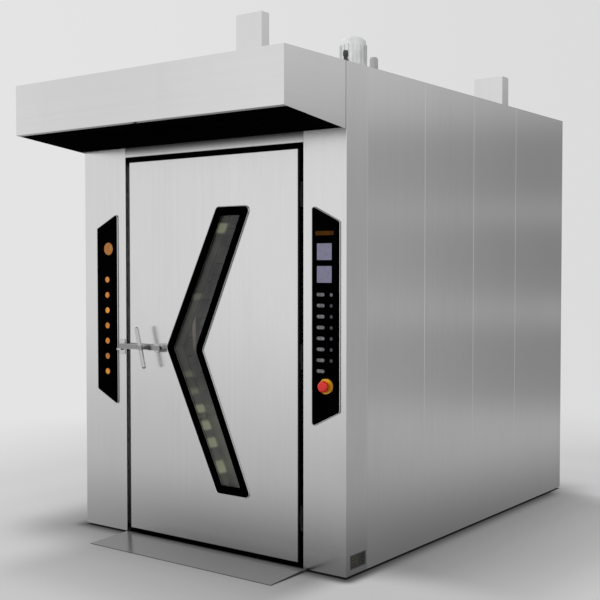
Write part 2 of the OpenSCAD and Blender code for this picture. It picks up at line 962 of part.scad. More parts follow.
module chamber_lamps() {
    color("lightyellow") place()
        for (i = [0 : lamp_count - 1])
            translate([-chamber_half, chamber_wall_y + lamp_inset, chamber_z0 + lamp_low + i * lamp_pitch])
                cube([lamp_d, lamp_w, lamp_l]);
}

// ---- heating ----

// The drum, its tubes, the collector and the flue pipe, drawn in by the wall for their inside
module gas_path(wall) {
    rod_y(drum_y0 + wall, drum_y1 - wall, heater_x, drum_z, drum_r - wall);
    for (x = [-1.5 : 1.5])
        for (y = [drum_y0 + tube_end : tube_row : drum_y1 - tube_end])
            rod_z(drum_z, collector_z0 + 2 * wall, heater_x + x * tube_pitch, y, tube_r - wall);
    block([heater_x - collector_half + wall, drum_y0 + 10 + wall, collector_z0 + wall],
          [heater_x + collector_half - wall, drum_y1 - wall, collector_z1 - wall]);
    rod_y(drum_y1 - 2 * wall, flue_y, roof_x, flue_pipe_z, flue_r - wall);
    translate([roof_x, flue_y, flue_pipe_z]) sphere(r = flue_r - wall, $fn = 48);
    rod_z(flue_pipe_z, flue_low + wall, roof_x, flue_y, flue_r - wall);
}

module heat_exchanger() {
    color("darkgray") place() difference() {
        union() {
            gas_path(0);
            for (y = [foot_y0, foot_y1])
                block([heater_x - drum_r, y, chamber_z0], [heater_x + drum_r, y + foot_w, drum_z]);
        }
        gas_path(heater_wall);
        rod_y(drum_y1 - heater_wall - 1, drum_y1 + 1, heater_x, drum_z, blast_r - heater_wall);
    }
}

module circulation_motor() {
    shell_y = fan_flange_y + fan_flange_t;
    color("steelblue") place() translate([-fan_x, 0, fan_z]) difference() {
        union() {
            block([-fan_mount_half, bulkhead_back, -fan_mount_half],
                  [fan_mount_half, bulkhead_back + fan_mount_t, fan_mount_half]);
            for (x = [-fan_stud, fan_stud])
                for (z = [-fan_stud, fan_stud])
                    rod_y(bulkhead_back + fan_mount_t, fan_flange_y, x, z, fan_stud_r);
            block([-fan_mount_half, fan_flange_y, -fan_mount_half],
                  [fan_mount_half, shell_y, fan_mount_half]);
            rod_y(shell_y, shell_y + fan_motor_d, 0, 0, fan_motor_r);
        }
        rod_y(bulkhead_back - 1, bulkhead_back + fan_mount_t + 1, 0, 0, fan_shaft_r + play);
        rod_y(fan_flange_y - 1, fan_shaft_y1 + play, 0, 0, fan_shaft_r + fit);
    }
}

module burner() {
    front = bulkhead_back + burner_gap;
    color("firebrick") place() {
        rod_y(drum_y1, front, heater_x, drum_z, blast_r);
        block([heater_x - burner_half, front, drum_z - burner_low],
              [heater_x + burner_half, body_d - burner_rear, drum_z + burner_high]);
        rod_x(heater_x + burner_half, heater_x + burner_half + blower_w, (front + body_d - burner_rear) / 2,
              drum_z, blower_r);
        difference() {
            union() {
                rod_z(drum_z + burner_high, fuel_z, heater_x, fuel_y, inlet_r + inlet_wall);
                translate([heater_x, fuel_y, fuel_z]) sphere(r = inlet_r + inlet_wall, $fn = 48);
                rod_y(fuel_y, body_d, heater_x, fuel_z, inlet_r + inlet_wall);
            }
            rod_y(body_d - inlet_bore_d, body_d + 1, heater_x, fuel_z, inlet_r);
        }
    }
}

// Iron plates in a stand, over which water runs down to turn to steam
module steam_generator() {
    plate_half = steam_half - steam_post;
    color("slategray") place() {
        for (x = [water_x - steam_half, water_x + plate_half])
            for (y = [drum_y0 + steam_front, drum_y1 - steam_back])
                block([x, y, chamber_z0], [x + steam_post, y + steam_post_d, steam_top]);
        for (i = [0 : steam_rows - 1])
            block([water_x - plate_half, drum_y0 + steam_front, steam_low + i * steam_pitch],
                  [water_x + plate_half, drum_y1 - steam_back + steam_post_d,
                   steam_low + steam_plate_t + i * steam_pitch]);
        difference() {
            rod_y(drum_y1 - steam_back, body_d, water_x, water_z, inlet_r + inlet_wall);
            rod_y(body_d - inlet_bore_d, body_d + 1, water_x, water_z, inlet_r);
        }
    }
}

module control_board() {
    color("darkgreen") place() {
        block([right_panel_x0 + board_margin, board_y, panel_z - board_half],
              [right_panel_x1 - board_margin, board_y + board_t, panel_z + board_half]);
        for (x = [right_panel_x0 + post_margin, right_panel_x1 - post_margin])
            for (z = [panel_z - post_step, panel_z, panel_z + post_step])
                rod_y(sheet, board_y, x, z, post_r);
        for (z = [panel_z - chip_reach : chip_pitch : panel_z + chip_reach])
            block([display_x - chip_half, board_y + board_t, z],
                  [display_x + chip_half, board_y + board_t + chip_d, z + chip_h]);
    }
}

// ---- hood and roof fittings ----

function soffit_z(y) = hood_rear_z + (hood_front_z - hood_rear_z) * (-y) / hood_reach;

module hood_cheek(x0) {
    sideways([
        [-hood_reach + sheet, soffit_z(-hood_reach + sheet)], [0, hood_rear_z], [0, panel_z1],
        [-hood_reach + sheet, panel_z1]
    ], x0, x0 + sheet);
}

module hood_shell() {
    color("lightgray") place() difference() {
        union() {
            hood_cheek(-half_w);
            hood_cheek(half_w - sheet);
            sideways([
                [-hood_reach + fold, hood_front_z], [-hood_reach + hood_lip, hood_front_z - hood_lip_drop],
                [-hood_reach + hood_lip, hood_front_z - hood_lip_drop + sheet],
                [-hood_reach + sheet, hood_front_z + sheet],
                [-hood_reach + sheet, panel_z1], [0, panel_z1], [0, body_h], [-hood_reach + fold, body_h],
                [-hood_reach, body_h - fold], [-hood_reach, hood_front_z + fold]
            ], -half_w, half_w);
        }
        block([roof_x - hood_duct_w / 2 + sheet, -hood_duct_y - hood_duct_d / 2 + sheet, panel_z1 - 1],
              [roof_x + hood_duct_w / 2 - sheet, -hood_duct_y + hood_duct_d / 2 - sheet, body_h + 1]);
    }
}

module hood_underside() {
    y0 = -hood_reach + sheet + seat;
    color([0.08, 0.08, 0.09]) place() difference() {
        sideways([
            [y0, soffit_z(y0) + soffit_rise], [0, hood_rear_z + soffit_rise],
            [0, hood_rear_z + soffit_rise + soffit_t], [y0, soffit_z(y0) + soffit_rise + soffit_t]
        ], -half_w + sheet, half_w - sheet);
        for (x = [-soffit_slot_reach : soffit_slot_pitch : soffit_slot_reach])
            block([x - soffit_slot / 2, -soffit_slot_front, hood_rear_z],
                  [x + soffit_slot / 2, -soffit_slot_back, body_h]);
    }
}

module duct_tube(w, d, z0, z1) {
    difference() {
        union() {
            block([-w / 2, -d / 2, z0], [w / 2, d / 2, z1]);
            block([-w / 2 - duct_flange, -d / 2 - duct_flange, body_h],
                  [w / 2 + duct_flange, d / 2 + duct_flange, body_h + sheet]);
        }
        block([-w / 2 + sheet, -d / 2 + sheet, z0 - 1], [w / 2 - sheet, d / 2 - sheet, z1 + 1]);
    }
}

module hood_duct() {
    color("whitesmoke") place() translate([roof_x, -hood_duct_y, 0])
        duct_tube(hood_duct_w, hood_duct_d, body_h, body_h + hood_duct_h);
}

module flue_duct() {
    color("whitesmoke") place() translate([roof_x, flue_y, 0]) difference() {
        union() {
            duct_tube(flue_w, flue_d, flue_low, body_h + flue_h);
            block([-flue_w / 2, -flue_d / 2, flue_low], [flue_w / 2, flue_d / 2, flue_low + sheet]);
        }
        rod_z(flue_low - 1, flue_low + sheet + 1, 0, 0, flue_r - flue_lip);
        rod_x(-flue_w, flue_w, 0, damper_z, damper_shaft_r + fit);
    }
}

module steam_damper() {
    half_x = flue_w / 2 - sheet - play;
    half_y = flue_d / 2 - sheet - play;
    color("silver") place() translate([roof_x, flue_y, 0]) {
        block([-half_x, -half_y, damper_z - damper_t / 2], [half_x, half_y, damper_z + damper_t / 2]);
        rod_x(-flue_w / 2 - damper_over, flue_w / 2 + damper_over, 0, damper_z, damper_shaft_r);
    }
}

module drive_motor() {
    top = body_h + motor_h;
    crown_r = (motor_r * motor_r + motor_crown * motor_crown) / (2 * motor_crown);
    color("lightslategray") place() translate([roof_x, motor_y, 0]) difference() {
        union() {
            block([-motor_base_half, -motor_base_half, body_h],
                  [motor_base_half, motor_base_half, motor_base_z]);
            rod_z(motor_base_z, top - motor_crown, 0, 0, motor_r);
            for (a = [0 : 20 : 340])
                rotate(a) block([motor_r - fin_t, -fin_t / 2, motor_base_z + fin_low],
                                [motor_r + fin_d, fin_t / 2, top - motor_crown - fin_high]);
            translate([0, 0, top - motor_crown]) intersection() {
                translate([0, 0, motor_crown - crown_r]) sphere(r = crown_r, $fn = round_fn);
                cylinder(r = motor_r, h = motor_crown, $fn = round_fn);
            }
            block([-motor_r - box_out, -box_front, motor_base_z + box_z],
                  [-motor_r + box_in, box_back, motor_base_z + box_z + box_h]);
        }
        rod_z(body_h - 1, motor_base_z - 1, 0, 0, motor_shaft_r + fit);
    }
}

module motor_pulley() {
    color("dimgray") place() translate([roof_x, motor_y, 0]) {
        rod_z(pulley_z0, pulley_z1, 0, 0, driver_r);
        rod_z(pulley_z1, motor_base_z - 2, 0, 0, motor_shaft_r);
    }
}

module belt_outline(extra) {
    hull() {
        translate([0, rack_y]) circle(r = driven_r + belt_gap + extra, $fn = round_fn);
        translate([roof_x, motor_y]) circle(r = driver_r + belt_gap + extra, $fn = round_fn);
    }
}

module drive_belt() {
    color([0.12, 0.12, 0.12]) place() translate([0, 0, pulley_z0 + pulley_rim / 2])
        linear_extrude(belt_w) difference() {
            belt_outline(belt_t);
            belt_outline(0);
        }
}

module drive_bearing() {
    color("darkslategray") place() difference() {
        union() {
            block([-side_inner, bearing_y0, bearing_z0], [side_inner, bearing_y1, bearing_z0 + beam_t]);
            rod_z(bearing_z0 - bearing_low, bearing_z1, 0, rack_y, shaft_r + bearing_wall);
        }
        rod_z(bearing_z0 - bearing_low - 1, bearing_z1 + 1, 0, rack_y, shaft_r + fit);
    }
}

module cable_gland() {
    color([0.15, 0.15, 0.16]) place() difference() {
        union() {
            rod_z(body_h - gland_tail, body_h, gland_x, gland_y, gland_bore_r + gland_wall);
            translate([gland_x, gland_y, body_h])
                cylinder(r = gland_bore_r + gland_nut, h = gland_nut_h, $fn = 6);
            rod_z(body_h + gland_nut_h, gland_top, gland_x, gland_y, gland_bore_r + gland_cap);
            translate([gland_x, gland_y, gland_top])
                cylinder(r1 = gland_bore_r + gland_cap, r2 = gland_bore_r + gland_wall, h = gland_cone_h,
                         $fn = round_fn);
        }
        rod_z(body_h - gland_tail - 1, gland_top + gland_cone_h + 1, gland_x, gland_y, gland_bore_r);
    }
}

// ---- front fittings ----

module entry_ramp() {
    color("silver") place() {
        sideways([
            [-ramp_reach, 0], [-seat, 0], [-seat, ramp_h], [-ramp_reach, ramp_lip]
        ], frame_x0 + ramp_inset, frame_x1 + ramp_over);
        sideways([
            [-seat, 0], [slab_front - seat, 0], [slab_front - seat, floor_z], [-seat, ramp_h]
        ], frame_x0 + ramp_inset, frame_x1 - seat);
    }
}

// A louvred plate that fills a window in the right pillar's side, held by its wider back
module service_vent() {
    skin = half_w - sheet;
    color([0.2, 0.2, 0.22]) place() difference() {
        union() {
            block([skin, vent_y0, vent_z0], [half_w - vent_set, vent_y0 + vent_len, vent_z0 + vent_h]);
            block([skin - sheet, vent_y0 - vent_lap, vent_z0 - vent_lap],
                  [skin, vent_y0 + vent_len + vent_lap, vent_z0 + vent_h + vent_lap]);
        }
        for (i = [0 : vent_slots - 1])
            block([skin - sheet - 1, vent_y0 + vent_margin, vent_z0 + vent_slot_z + i * vent_slot_pitch],
                  [half_w + 1, vent_y0 + vent_len - vent_margin,
                   vent_z0 + vent_slot_z + vent_slot_h + i * vent_slot_pitch]);
    }
}

module glass_panels() {
    color([0.03, 0.03, 0.035]) place() {
        facing(rounded(left_panel_points, panel_corner_r, panel_corner_r), -panel_t, 0);
        facing(rounded(right_panel_points, panel_corner_r, panel_corner_r), -panel_t, 0);
    }
}

module on_glass(points) {
    facing(points, -panel_t - print_t, -panel_t);
}

module status_lights() {
    color("orange") place()
        for (i = [0 : light_count - 1])
            rod_y(-panel_t - print_t, -panel_t, light_x, light_z - i * light_pitch, light_r);
}

function oblong(x, z, w, h) = [
    [x - w / 2, z - h / 2], [x + w / 2, z - h / 2], [x + w / 2, z + h / 2], [x - w / 2, z + h / 2]
];

module displays() {
    color([0.5, 0.48, 0.62]) place()
        for (z = [display_z, display_z - display_pitch])
            on_glass(rounded(oblong(display_x, z, display_w, display_h), print_r, print_r));
}

module touch_keys() {
    color("lightgray") place()
        for (row = [0 : key_rows - 1]) {
            z = key_z - row * key_pitch;
            on_glass(rounded(oblong(key_x, z, key_w, key_h), key_h / 2 - 0.5, 1));
            if (row < key_rows - 1)
                on_glass(rounded(oblong(small_key_x, z, key_h, key_h), key_h / 2 - 0.5, 1));
        }
}

module estop_collar() {
    color("gold") place() difference() {
        rod_y(-panel_t - collar_t, -panel_t, stop_x, stop_z, collar_r);
        rod_y(-panel_t - collar_t - 1, -panel_t + 1, stop_x, stop_z, stop_stem_r + fit);
    }
}

// A stem in the collar's bore and a mushroom head with a bevelled rim and a rounded crown
module estop_button() {
    stem_z = panel_t + stop_travel + 1;
    head_z = panel_t + collar_t + stop_travel + stop_lift;
    color("red") place() translate([stop_x, 0, stop_z]) rotate([90, 0, 0]) {
        translate([0, 0, stem_z]) cylinder(r = stop_stem_r, h = head_z - stem_z, $fn = round_fn);
        translate([0, 0, head_z]) rotate_extrude($fn = round_fn)
            polygon([
                [0, 0], [stop_head_r - stop_bevel, 0], [stop_head_r, stop_bevel], [stop_head_r, stop_rim],
                for (a = [0 : 15 : 90])
                    [stop_head_r - crown_w + crown_w * cos(a), stop_rim + crown_h * sin(a)],
                [0, stop_rim + crown_h]
            ]);
    }
}

// ---- door ----

module window_hole(d, y0, y1) {
    facing(window_outline(d), y0, y1);
}

module spindle_hole(y0, y1, r) {
    rod_y(y0, y1, pivot_x, pivot_z, r);
}

module door_outer_skin() {
    color("lightgray") place() difference() {
        union() {
            difference() {
                block([door_x0, 0, door_lift], [door_x1, door_t - skin_lip, door_z1]);
                block([door_x0 + sheet, sheet, door_lift + sheet],
                      [door_x1 - sheet, door_t, door_z1 - sheet]);
            }
            spindle_hole(sheet - 1, bush_len, bush_r);
        }
        window_hole(border_lap, -1, sheet + 1);
        spindle_hole(-1, bush_len + 1, spindle_r + fit);
    }
}

module door_core() {
    color("khaki") place() difference() {
        block([door_x0 + sheet + seat, sheet, door_lift + sheet + seat],
              [door_x1 - sheet - seat, door_t - sheet, door_z1 - sheet - seat]);
        window_hole(border_lap - sheet, -1, door_t);
        spindle_hole(0, door_t, bush_r + seat);
    }
}

module door_inner_skin() {
    color("silver") place() difference() {
        block([door_x0, door_t - skin_lip + seat, door_lift], [door_x1, door_t, door_z1]);
        block([door_x0 + sheet, 0, door_lift + sheet], [door_x1 - sheet, door_t - sheet, door_z1 - sheet]);
        window_hole(border_lap, door_t - sheet - 1, door_t + 1);
        spindle_hole(door_t - sheet - 1, door_t + 1, spindle_r + fit);
    }
}

module pane(y0, gap) {
    window_hole(border_w - groove - gap, y0 - gap, y0 + pane_t + gap);
}

module window_frame() {
    color([0.04, 0.04, 0.045]) place() difference() {
        union() {
            window_hole(0, -border_proud, 0);
            window_hole(border_lap + seat, 0, door_t);
        }
        window_hole(border_w, -border_proud - 1, door_t + 1);
        pane(outer_pane_y, groove_play);
        pane(inner_pane_y, groove_play);
    }
}

module window_glass() {
    color([0.3, 0.32, 0.3, 0.5]) place() {
        pane(outer_pane_y, 0);
        pane(inner_pane_y, 0);
    }
}

module door_seal() {
    color([0.1, 0.1, 0.1]) place() difference() {
        block([door_x0 + seal_inset, door_t, door_lift + seal_foot],
              [door_x1 - seal_inset, land_y - seat, door_z1 - seal_inset]);
        block([door_x0 + seal_inset + seal_w, door_t - 1, door_lift + seal_foot + seal_w],
              [door_x1 - seal_inset - seal_w, land_y + 1, door_z1 - seal_inset - seal_w]);
    }
}

module knuckle(z0, z1, r) {
    rod_z(z0, z1, hinge_x, hinge_set, r);
}

module door_hinges() {
    color("gray") place()
        for (z = hinge_heights) difference() {
            union() {
                knuckle(z - knuckle_h / 2, z + knuckle_h / 2, barrel_r);
                block([door_x1, hinge_set - leaf_t, z - knuckle_h / 2],
                      [hinge_x, hinge_set + leaf_t, z + knuckle_h / 2]);
                block([door_x1, hinge_set - leaf_t, z - knuckle_h / 2],
                      [door_x1 + leaf_t, leaf_d, z + knuckle_h / 2]);
            }
            knuckle(z - knuckle_h, z + knuckle_h, hinge_pin_r + fit);
        }
}

module frame_hinges() {
    color("gray") place()
        for (z = hinge_heights) {
            low = z - knuckle_h / 2 - seat - frame_knuckle_h;
            high = z + knuckle_h / 2 + seat;
            knuckle(low, high + frame_knuckle_h, hinge_pin_r);
            for (z0 = [low, high])
                difference() {
                    union() {
                        knuckle(z0, z0 + frame_knuckle_h, barrel_r);
                        block([hinge_x, hinge_set - leaf_t, z0],
                              [frame_x1, hinge_set + leaf_t, z0 + frame_knuckle_h]);
                        block([frame_x1 - leaf_t, hinge_set - leaf_t, z0],
                              [frame_x1, leaf_d, z0 + frame_knuckle_h]);
                    }
                    knuckle(z0 - 1, z0 + frame_knuckle_h + 1, hinge_pin_r);
                }
        }
}

// ---- latch ----

// The lever and its boss, the stud that carries the grip, and the grip are three pieces
module latch_lever() {
    color("gainsboro") place() {
        difference() {
            union() {
                block([nose_x, lever_y0, pivot_z - lever_h / 2],
                      [pivot_x, -lever_off, pivot_z + lever_h / 2]);
                spindle_hole(lever_y0 - boss_over, -seat, boss_r);
            }
            spindle_hole(lever_y0 + boss_over, 1, spindle_r + fit);
        }
        difference() {
            rod_y(-grip_off, lever_y0 - weld, pivot_x - grip_x, pivot_z, grip_r * 0.8);
            latch_grip(weld);
        }
        latch_grip(0);
    }
}

module latch_grip(extra) {
    translate([pivot_x - grip_x, -grip_off, pivot_z]) rotate([0, -grip_tilt, 0])
        translate([0, 0, -grip_len / 2]) {
            cylinder(r = grip_r + extra, h = grip_len, $fn = round_fn);
            sphere(r = grip_r, $fn = 48);
            translate([0, 0, grip_len]) sphere(r = grip_r, $fn = 48);
        }
}

module latch_spindle() {
    color("silver") place() {
        spindle_hole(lever_y0 + boss_over, door_t + spindle_end, spindle_r);
        difference() {
            spindle_hole(door_t + seat, door_t + release_t, release_r);
            spindle_hole(door_t, door_t + release_t + 1, spindle_r);
        }
    }
}

// A back plate on the pillar, and the shelf that the lever's nose drops onto
module latch_keeper() {
    shelf_z = pivot_z - lever_h / 2 - seat;
    x1 = frame_x0 - keeper_gap;
    color("gainsboro") place() {
        block([x1 - keeper_w, -keeper_t, shelf_z - keeper_low], [x1, 0, shelf_z + lever_h + keeper_high]);
        block([x1 - keeper_w + keeper_gap, lever_y0 - shelf_over, shelf_z - shelf_t],
              [x1 - keeper_gap, -keeper_t - weld, shelf_z]);
    }
}

// ---- rack and its drive ----

module rack_shaft() {
    cross_pin_z = shaft_z0 + shaft_over;
    color("gray") place() {
        difference() {
            union() {
                rod_z(shaft_z0, pulley_z1 + shaft_over, 0, rack_y, shaft_r);
                rod_z(bearing_z1 + seat, collar_z1, 0, rack_y, shaft_r + collar_wall);
            }
            rod_x(-shaft_r - 1, shaft_r + 1, rack_y, cross_pin_z, cross_pin_r + fit);
        }
        difference() {
            rod_z(pulley_z0, pulley_z1, 0, rack_y, driven_r);
            rod_z(pulley_z0 - 1, pulley_z1 + 1, 0, rack_y, shaft_r + fit);
        }
        rod_z(collar_z1, pulley_z0, 0, rack_y, shaft_r + pulley_wall);
    }
}

// A beam under the shaft with a hook at either end, which the rack's hanging bar slides into
module rack_carrier() {
    hub_r = shaft_r + carrier_wall;
    cross_pin_z = shaft_z0 + shaft_over;
    slot_r = hang_bar_r + seat;
    color("dimgray") place() {
        difference() {
            union() {
                rod_z(hook_top, shaft_z0 + 2 * shaft_over, 0, rack_y, hub_r);
                block([-beam_half, rack_y - hook_half / 2, hook_top],
                      [beam_half, rack_y + hook_half / 2, shaft_z0]);
                for (x = [-beam_half + hook_inset, beam_half - hook_t - hook_inset])
                    sideways([
                        [rack_y - hook_half, hang_z - hook_low], [rack_y + hook_half, hang_z - hook_low],
                        [rack_y + hook_half, shaft_z0], [rack_y - hook_half / 2, shaft_z0],
                        [rack_y - hook_half, hook_top]
                    ], x, x + hook_t);
            }
            rod_z(shaft_z0, shaft_z0 + 2 * shaft_over + 1, 0, rack_y, shaft_r + fit);
            rod_x(-beam_half - 1, beam_half + 1, rack_y, hang_z, slot_r);
            block([-beam_half - 1, rack_y - hook_half - 1, hang_z - slot_r],
                  [beam_half + 1, rack_y, hang_z + slot_r]);
            rod_x(-hub_r - 1, hub_r + 1, rack_y, cross_pin_z, cross_pin_r + fit);
        }
        rod_x(-hub_r, hub_r, rack_y, cross_pin_z, cross_pin_r);
    }
}

// Three posts, and a runner for each level: an angle whose flat top carries the tray's edge
module rack_side(side) {
    outer = side * rack_w / 2;
    inner = outer - side * rack_post;
    web = inner - side * weld;
    for (y = [rack_y0 + fork_t, rack_y - rack_post / 2, rack_y1 - fork_t - rack_post])
        block([min(outer, inner), y, post_z0 + weld], [max(outer, inner), y + rack_post, post_z1 - weld]);
    for (i = [0 : levels - 1])
        translate([0, rack_y1, first_level + i * level_pitch]) rotate([90, 0, 0]) linear_extrude(rack_d)
            polygon([
                [web, 0], [web - side * runner_w, 0], [web - side * runner_w, -angle_t],
                [web - side * angle_t, -angle_t], [web - side * angle_t, -runner_leg], [web, -runner_leg]
            ]);
}

module rack_deck(z0, z1, plate_z) {
    difference() {
        block([-rack_w / 2, rack_y0, z0], [rack_w / 2, rack_y1, z1]);
        block([-rack_w / 2 + angle_t, rack_y0 + angle_t, plate_z == z0 ? z0 + angle_t : z0 - 1],
              [rack_w / 2 - angle_t, rack_y1 - angle_t, plate_z == z0 ? z1 + 1 : z1 - angle_t]);
    }
}

// The fork of a caster, whose plate lies over x, y and whose wheel runs at wheel_y
module caster_cheeks(x, y, wheel_y) {
    half = wheel_w / 2 + fork_gap;
    for (side = [-1, 1])
        translate([x + side * (half + fork_t / 2) - fork_t / 2, 0, 0])
            block([0, wheel_y - fork_half_l, wheel_z - fork_low],
                  [fork_t, wheel_y + fork_half_l, fork_plate_z]);
    block([x - half - fork_t, min(y, wheel_y) - fork_tail, fork_plate_z],
          [x + half + fork_t, max(y, wheel_y) + fork_half_l, fork_plate_z + fork_t]);
    rod_x(x - half - fork_t - fork_gap, x + half + fork_t + fork_gap, wheel_y, wheel_z, axle_r);
}

module swivel_fork(side) {
    x = side * caster_x;
    caster_cheeks(x, caster_front_y, caster_front_y + trail);
    rod_z(fork_plate_z + fork_t, pivot_pin_z, x, caster_front_y, pivot_pin_r);
}

module swivel_fork_left() {
    color("gray") place() swivel_fork(-1);
}

module swivel_fork_right() {
    color("gray") place() swivel_fork(1);
}

module rack_frame() {
    color("silver") place() {
        rack_side(-1);
        rack_side(1);
        rack_deck(post_z1, rack_top_z, rack_top_z);
        for (x = [-bar_half + ear_t, bar_half - 2 * ear_t])
            difference() {
                block([x, rack_y - ear_half, rack_top_z], [x + ear_t, rack_y + ear_half, hang_z + ear_over]);
                rod_x(x - 1, x + ear_t + 1, rack_y, hang_z, hang_bar_r);
            }
        rod_x(-bar_half, bar_half, rack_y, hang_z, hang_bar_r);
        difference() {
            union() {
                rack_deck(rack_base_z, post_z0, rack_base_z);
                for (side = [-1, 1])
                    rod_z(rack_base_z, pivot_pin_z + 2, side * caster_x, caster_front_y, socket_r);
            }
            for (side = [-1, 1])
                rod_z(rack_base_z - 1, pivot_pin_z + play, side * caster_x, caster_front_y,
                      pivot_pin_r + fit);
        }
        for (side = [-1, 1])
            translate([0, 0, seat]) caster_cheeks(side * caster_x, caster_rear_y, caster_rear_y);
    }
}

module caster_wheel(x, y, z) {
    color([0.18, 0.18, 0.2]) place() difference() {
        rod_x(x - wheel_w / 2, x + wheel_w / 2, y, z, wheel_r);
        rod_x(x - wheel_w, x + wheel_w, y, z, axle_r + fit);
    }
}

module wheel_front_left() {
    caster_wheel(-caster_x, caster_front_y + trail, wheel_z);
}

module wheel_front_right() {
    caster_wheel(caster_x, caster_front_y + trail, wheel_z);
}

module wheel_rear_left() {
    caster_wheel(-caster_x, caster_rear_y, wheel_z + seat);
}

module wheel_rear_right() {
    caster_wheel(caster_x, caster_rear_y, wheel_z + seat);
}

module circulation_fan() {
    plate_y = fan_y0 + fan_d;
    hub_y = plate_y + fan_plate + fan_hub_d;
    mid_r = (1 + fan_eye) / 2 * fan_r;
    blade_half = (1 - fan_eye) / 2 * fan_r - blade_t / 2;
    color("slategray") place() translate([-fan_x, 0, fan_z]) {
        difference() {
            rod_y(fan_y0, fan_y0 + fan_plate, 0, 0, fan_r);
            rod_y(fan_y0 - 1, fan_y0 + fan_plate + 1, 0, 0, fan_eye * fan_r);
        }
        for (i = [0 : blades - 1])
            rotate([0, i * 360 / blades, 0]) translate([mid_r, 0, 0]) rotate([0, blade_turn, 0])
                block([-blade_half, fan_y0 + fan_plate, -blade_t / 2], [blade_half, plate_y, blade_t / 2]);
        rod_y(plate_y, plate_y + fan_plate, 0, 0, fan_r);
        rod_y(plate_y + fan_plate, hub_y, 0, 0, fan_hub_r);
        rod_y(hub_y, fan_shaft_y1, 0, 0, fan_shaft_r);
    }
}

levelling_feet();
floor_slab();
left_pillar();
right_pillar();
front_header();
left_side_panels();
right_side_panels();
rear_casing();
roof_panels();
wall_insulation();
door_frame();
chamber_side_walls();
chamber_rear_wall();
chamber_ceiling();
chamber_floor();
heat_exchanger();
circulation_motor();
burner();
steam_generator();
control_board();
hood_shell();
hood_underside();
hood_duct();
flue_duct();
drive_motor();
drive_belt();
drive_bearing();
cable_gland();
entry_ramp();
service_vent();
chamber_lamps();
glass_panels();
status_lights();
displays();
touch_keys();
estop_collar();
latch_keeper();
frame_hinges();
door_outer_skin();
door_core();
door_inner_skin();
window_frame();
window_glass();
door_seal();
door_hinges();
latch_lever();
latch_spindle();
rack_shaft();
rack_carrier();
rack_frame();
motor_pulley();
circulation_fan();
steam_damper();
estop_button();
swivel_fork_left();
swivel_fork_right();
wheel_front_left();
wheel_front_right();
wheel_rear_left();
wheel_rear_right();
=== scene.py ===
import math

import bmesh
import bpy
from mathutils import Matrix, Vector


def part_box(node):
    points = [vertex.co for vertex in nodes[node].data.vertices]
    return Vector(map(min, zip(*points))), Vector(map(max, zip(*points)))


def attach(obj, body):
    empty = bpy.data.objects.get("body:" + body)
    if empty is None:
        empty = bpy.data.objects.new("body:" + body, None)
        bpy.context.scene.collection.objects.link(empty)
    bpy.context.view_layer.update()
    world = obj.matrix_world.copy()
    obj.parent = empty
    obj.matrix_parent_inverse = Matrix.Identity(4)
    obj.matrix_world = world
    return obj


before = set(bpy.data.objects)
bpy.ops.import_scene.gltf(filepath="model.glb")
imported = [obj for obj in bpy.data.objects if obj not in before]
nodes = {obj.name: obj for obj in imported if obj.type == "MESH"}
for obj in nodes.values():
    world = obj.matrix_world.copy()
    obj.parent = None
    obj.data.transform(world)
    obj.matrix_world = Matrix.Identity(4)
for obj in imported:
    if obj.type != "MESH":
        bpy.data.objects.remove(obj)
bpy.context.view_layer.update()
scene = bpy.context.scene
print("frame loaded with", len(nodes), "nodes")


class Wire:
    # wraps a shader socket, so that sums on its value read as plain expressions
    def __init__(self, finish, socket):
        self.finish = finish
        self.socket = socket

    def calc(self, operation, *values):
        return self.finish.add("ShaderNodeMath", {"operation": operation}, dict(enumerate(values)))

    def __add__(self, other):
        return self.calc("ADD", self, other)

    def __sub__(self, other):
        return self.calc("SUBTRACT", self, other)

    def __mul__(self, other):
        return self.calc("MULTIPLY", self, other)

    def __truediv__(self, other):
        return self.calc("DIVIDE", self, other)

    def __pow__(self, other):
        return self.calc("POWER", self, other)

    def __radd__(self, other):
        return self.calc("ADD", other, self)

    def __rsub__(self, other):
        return self.calc("SUBTRACT", other, self)

    def __rmul__(self, other):
        return self.calc("MULTIPLY", other, self)

    def __rtruediv__(self, other):
        return self.calc("DIVIDE", other, self)

    def over(self, low, high):  # 0 below low, 1 above high
        return self.finish.add("ShaderNodeMapRange", {"interpolation_type": "SMOOTHSTEP"},
                               {0: self, 1: low, 2: high})

    def larger(self, other):
        return self.calc("MAXIMUM", self, other)

    def absolute(self):
        return self.calc("ABSOLUTE", self)


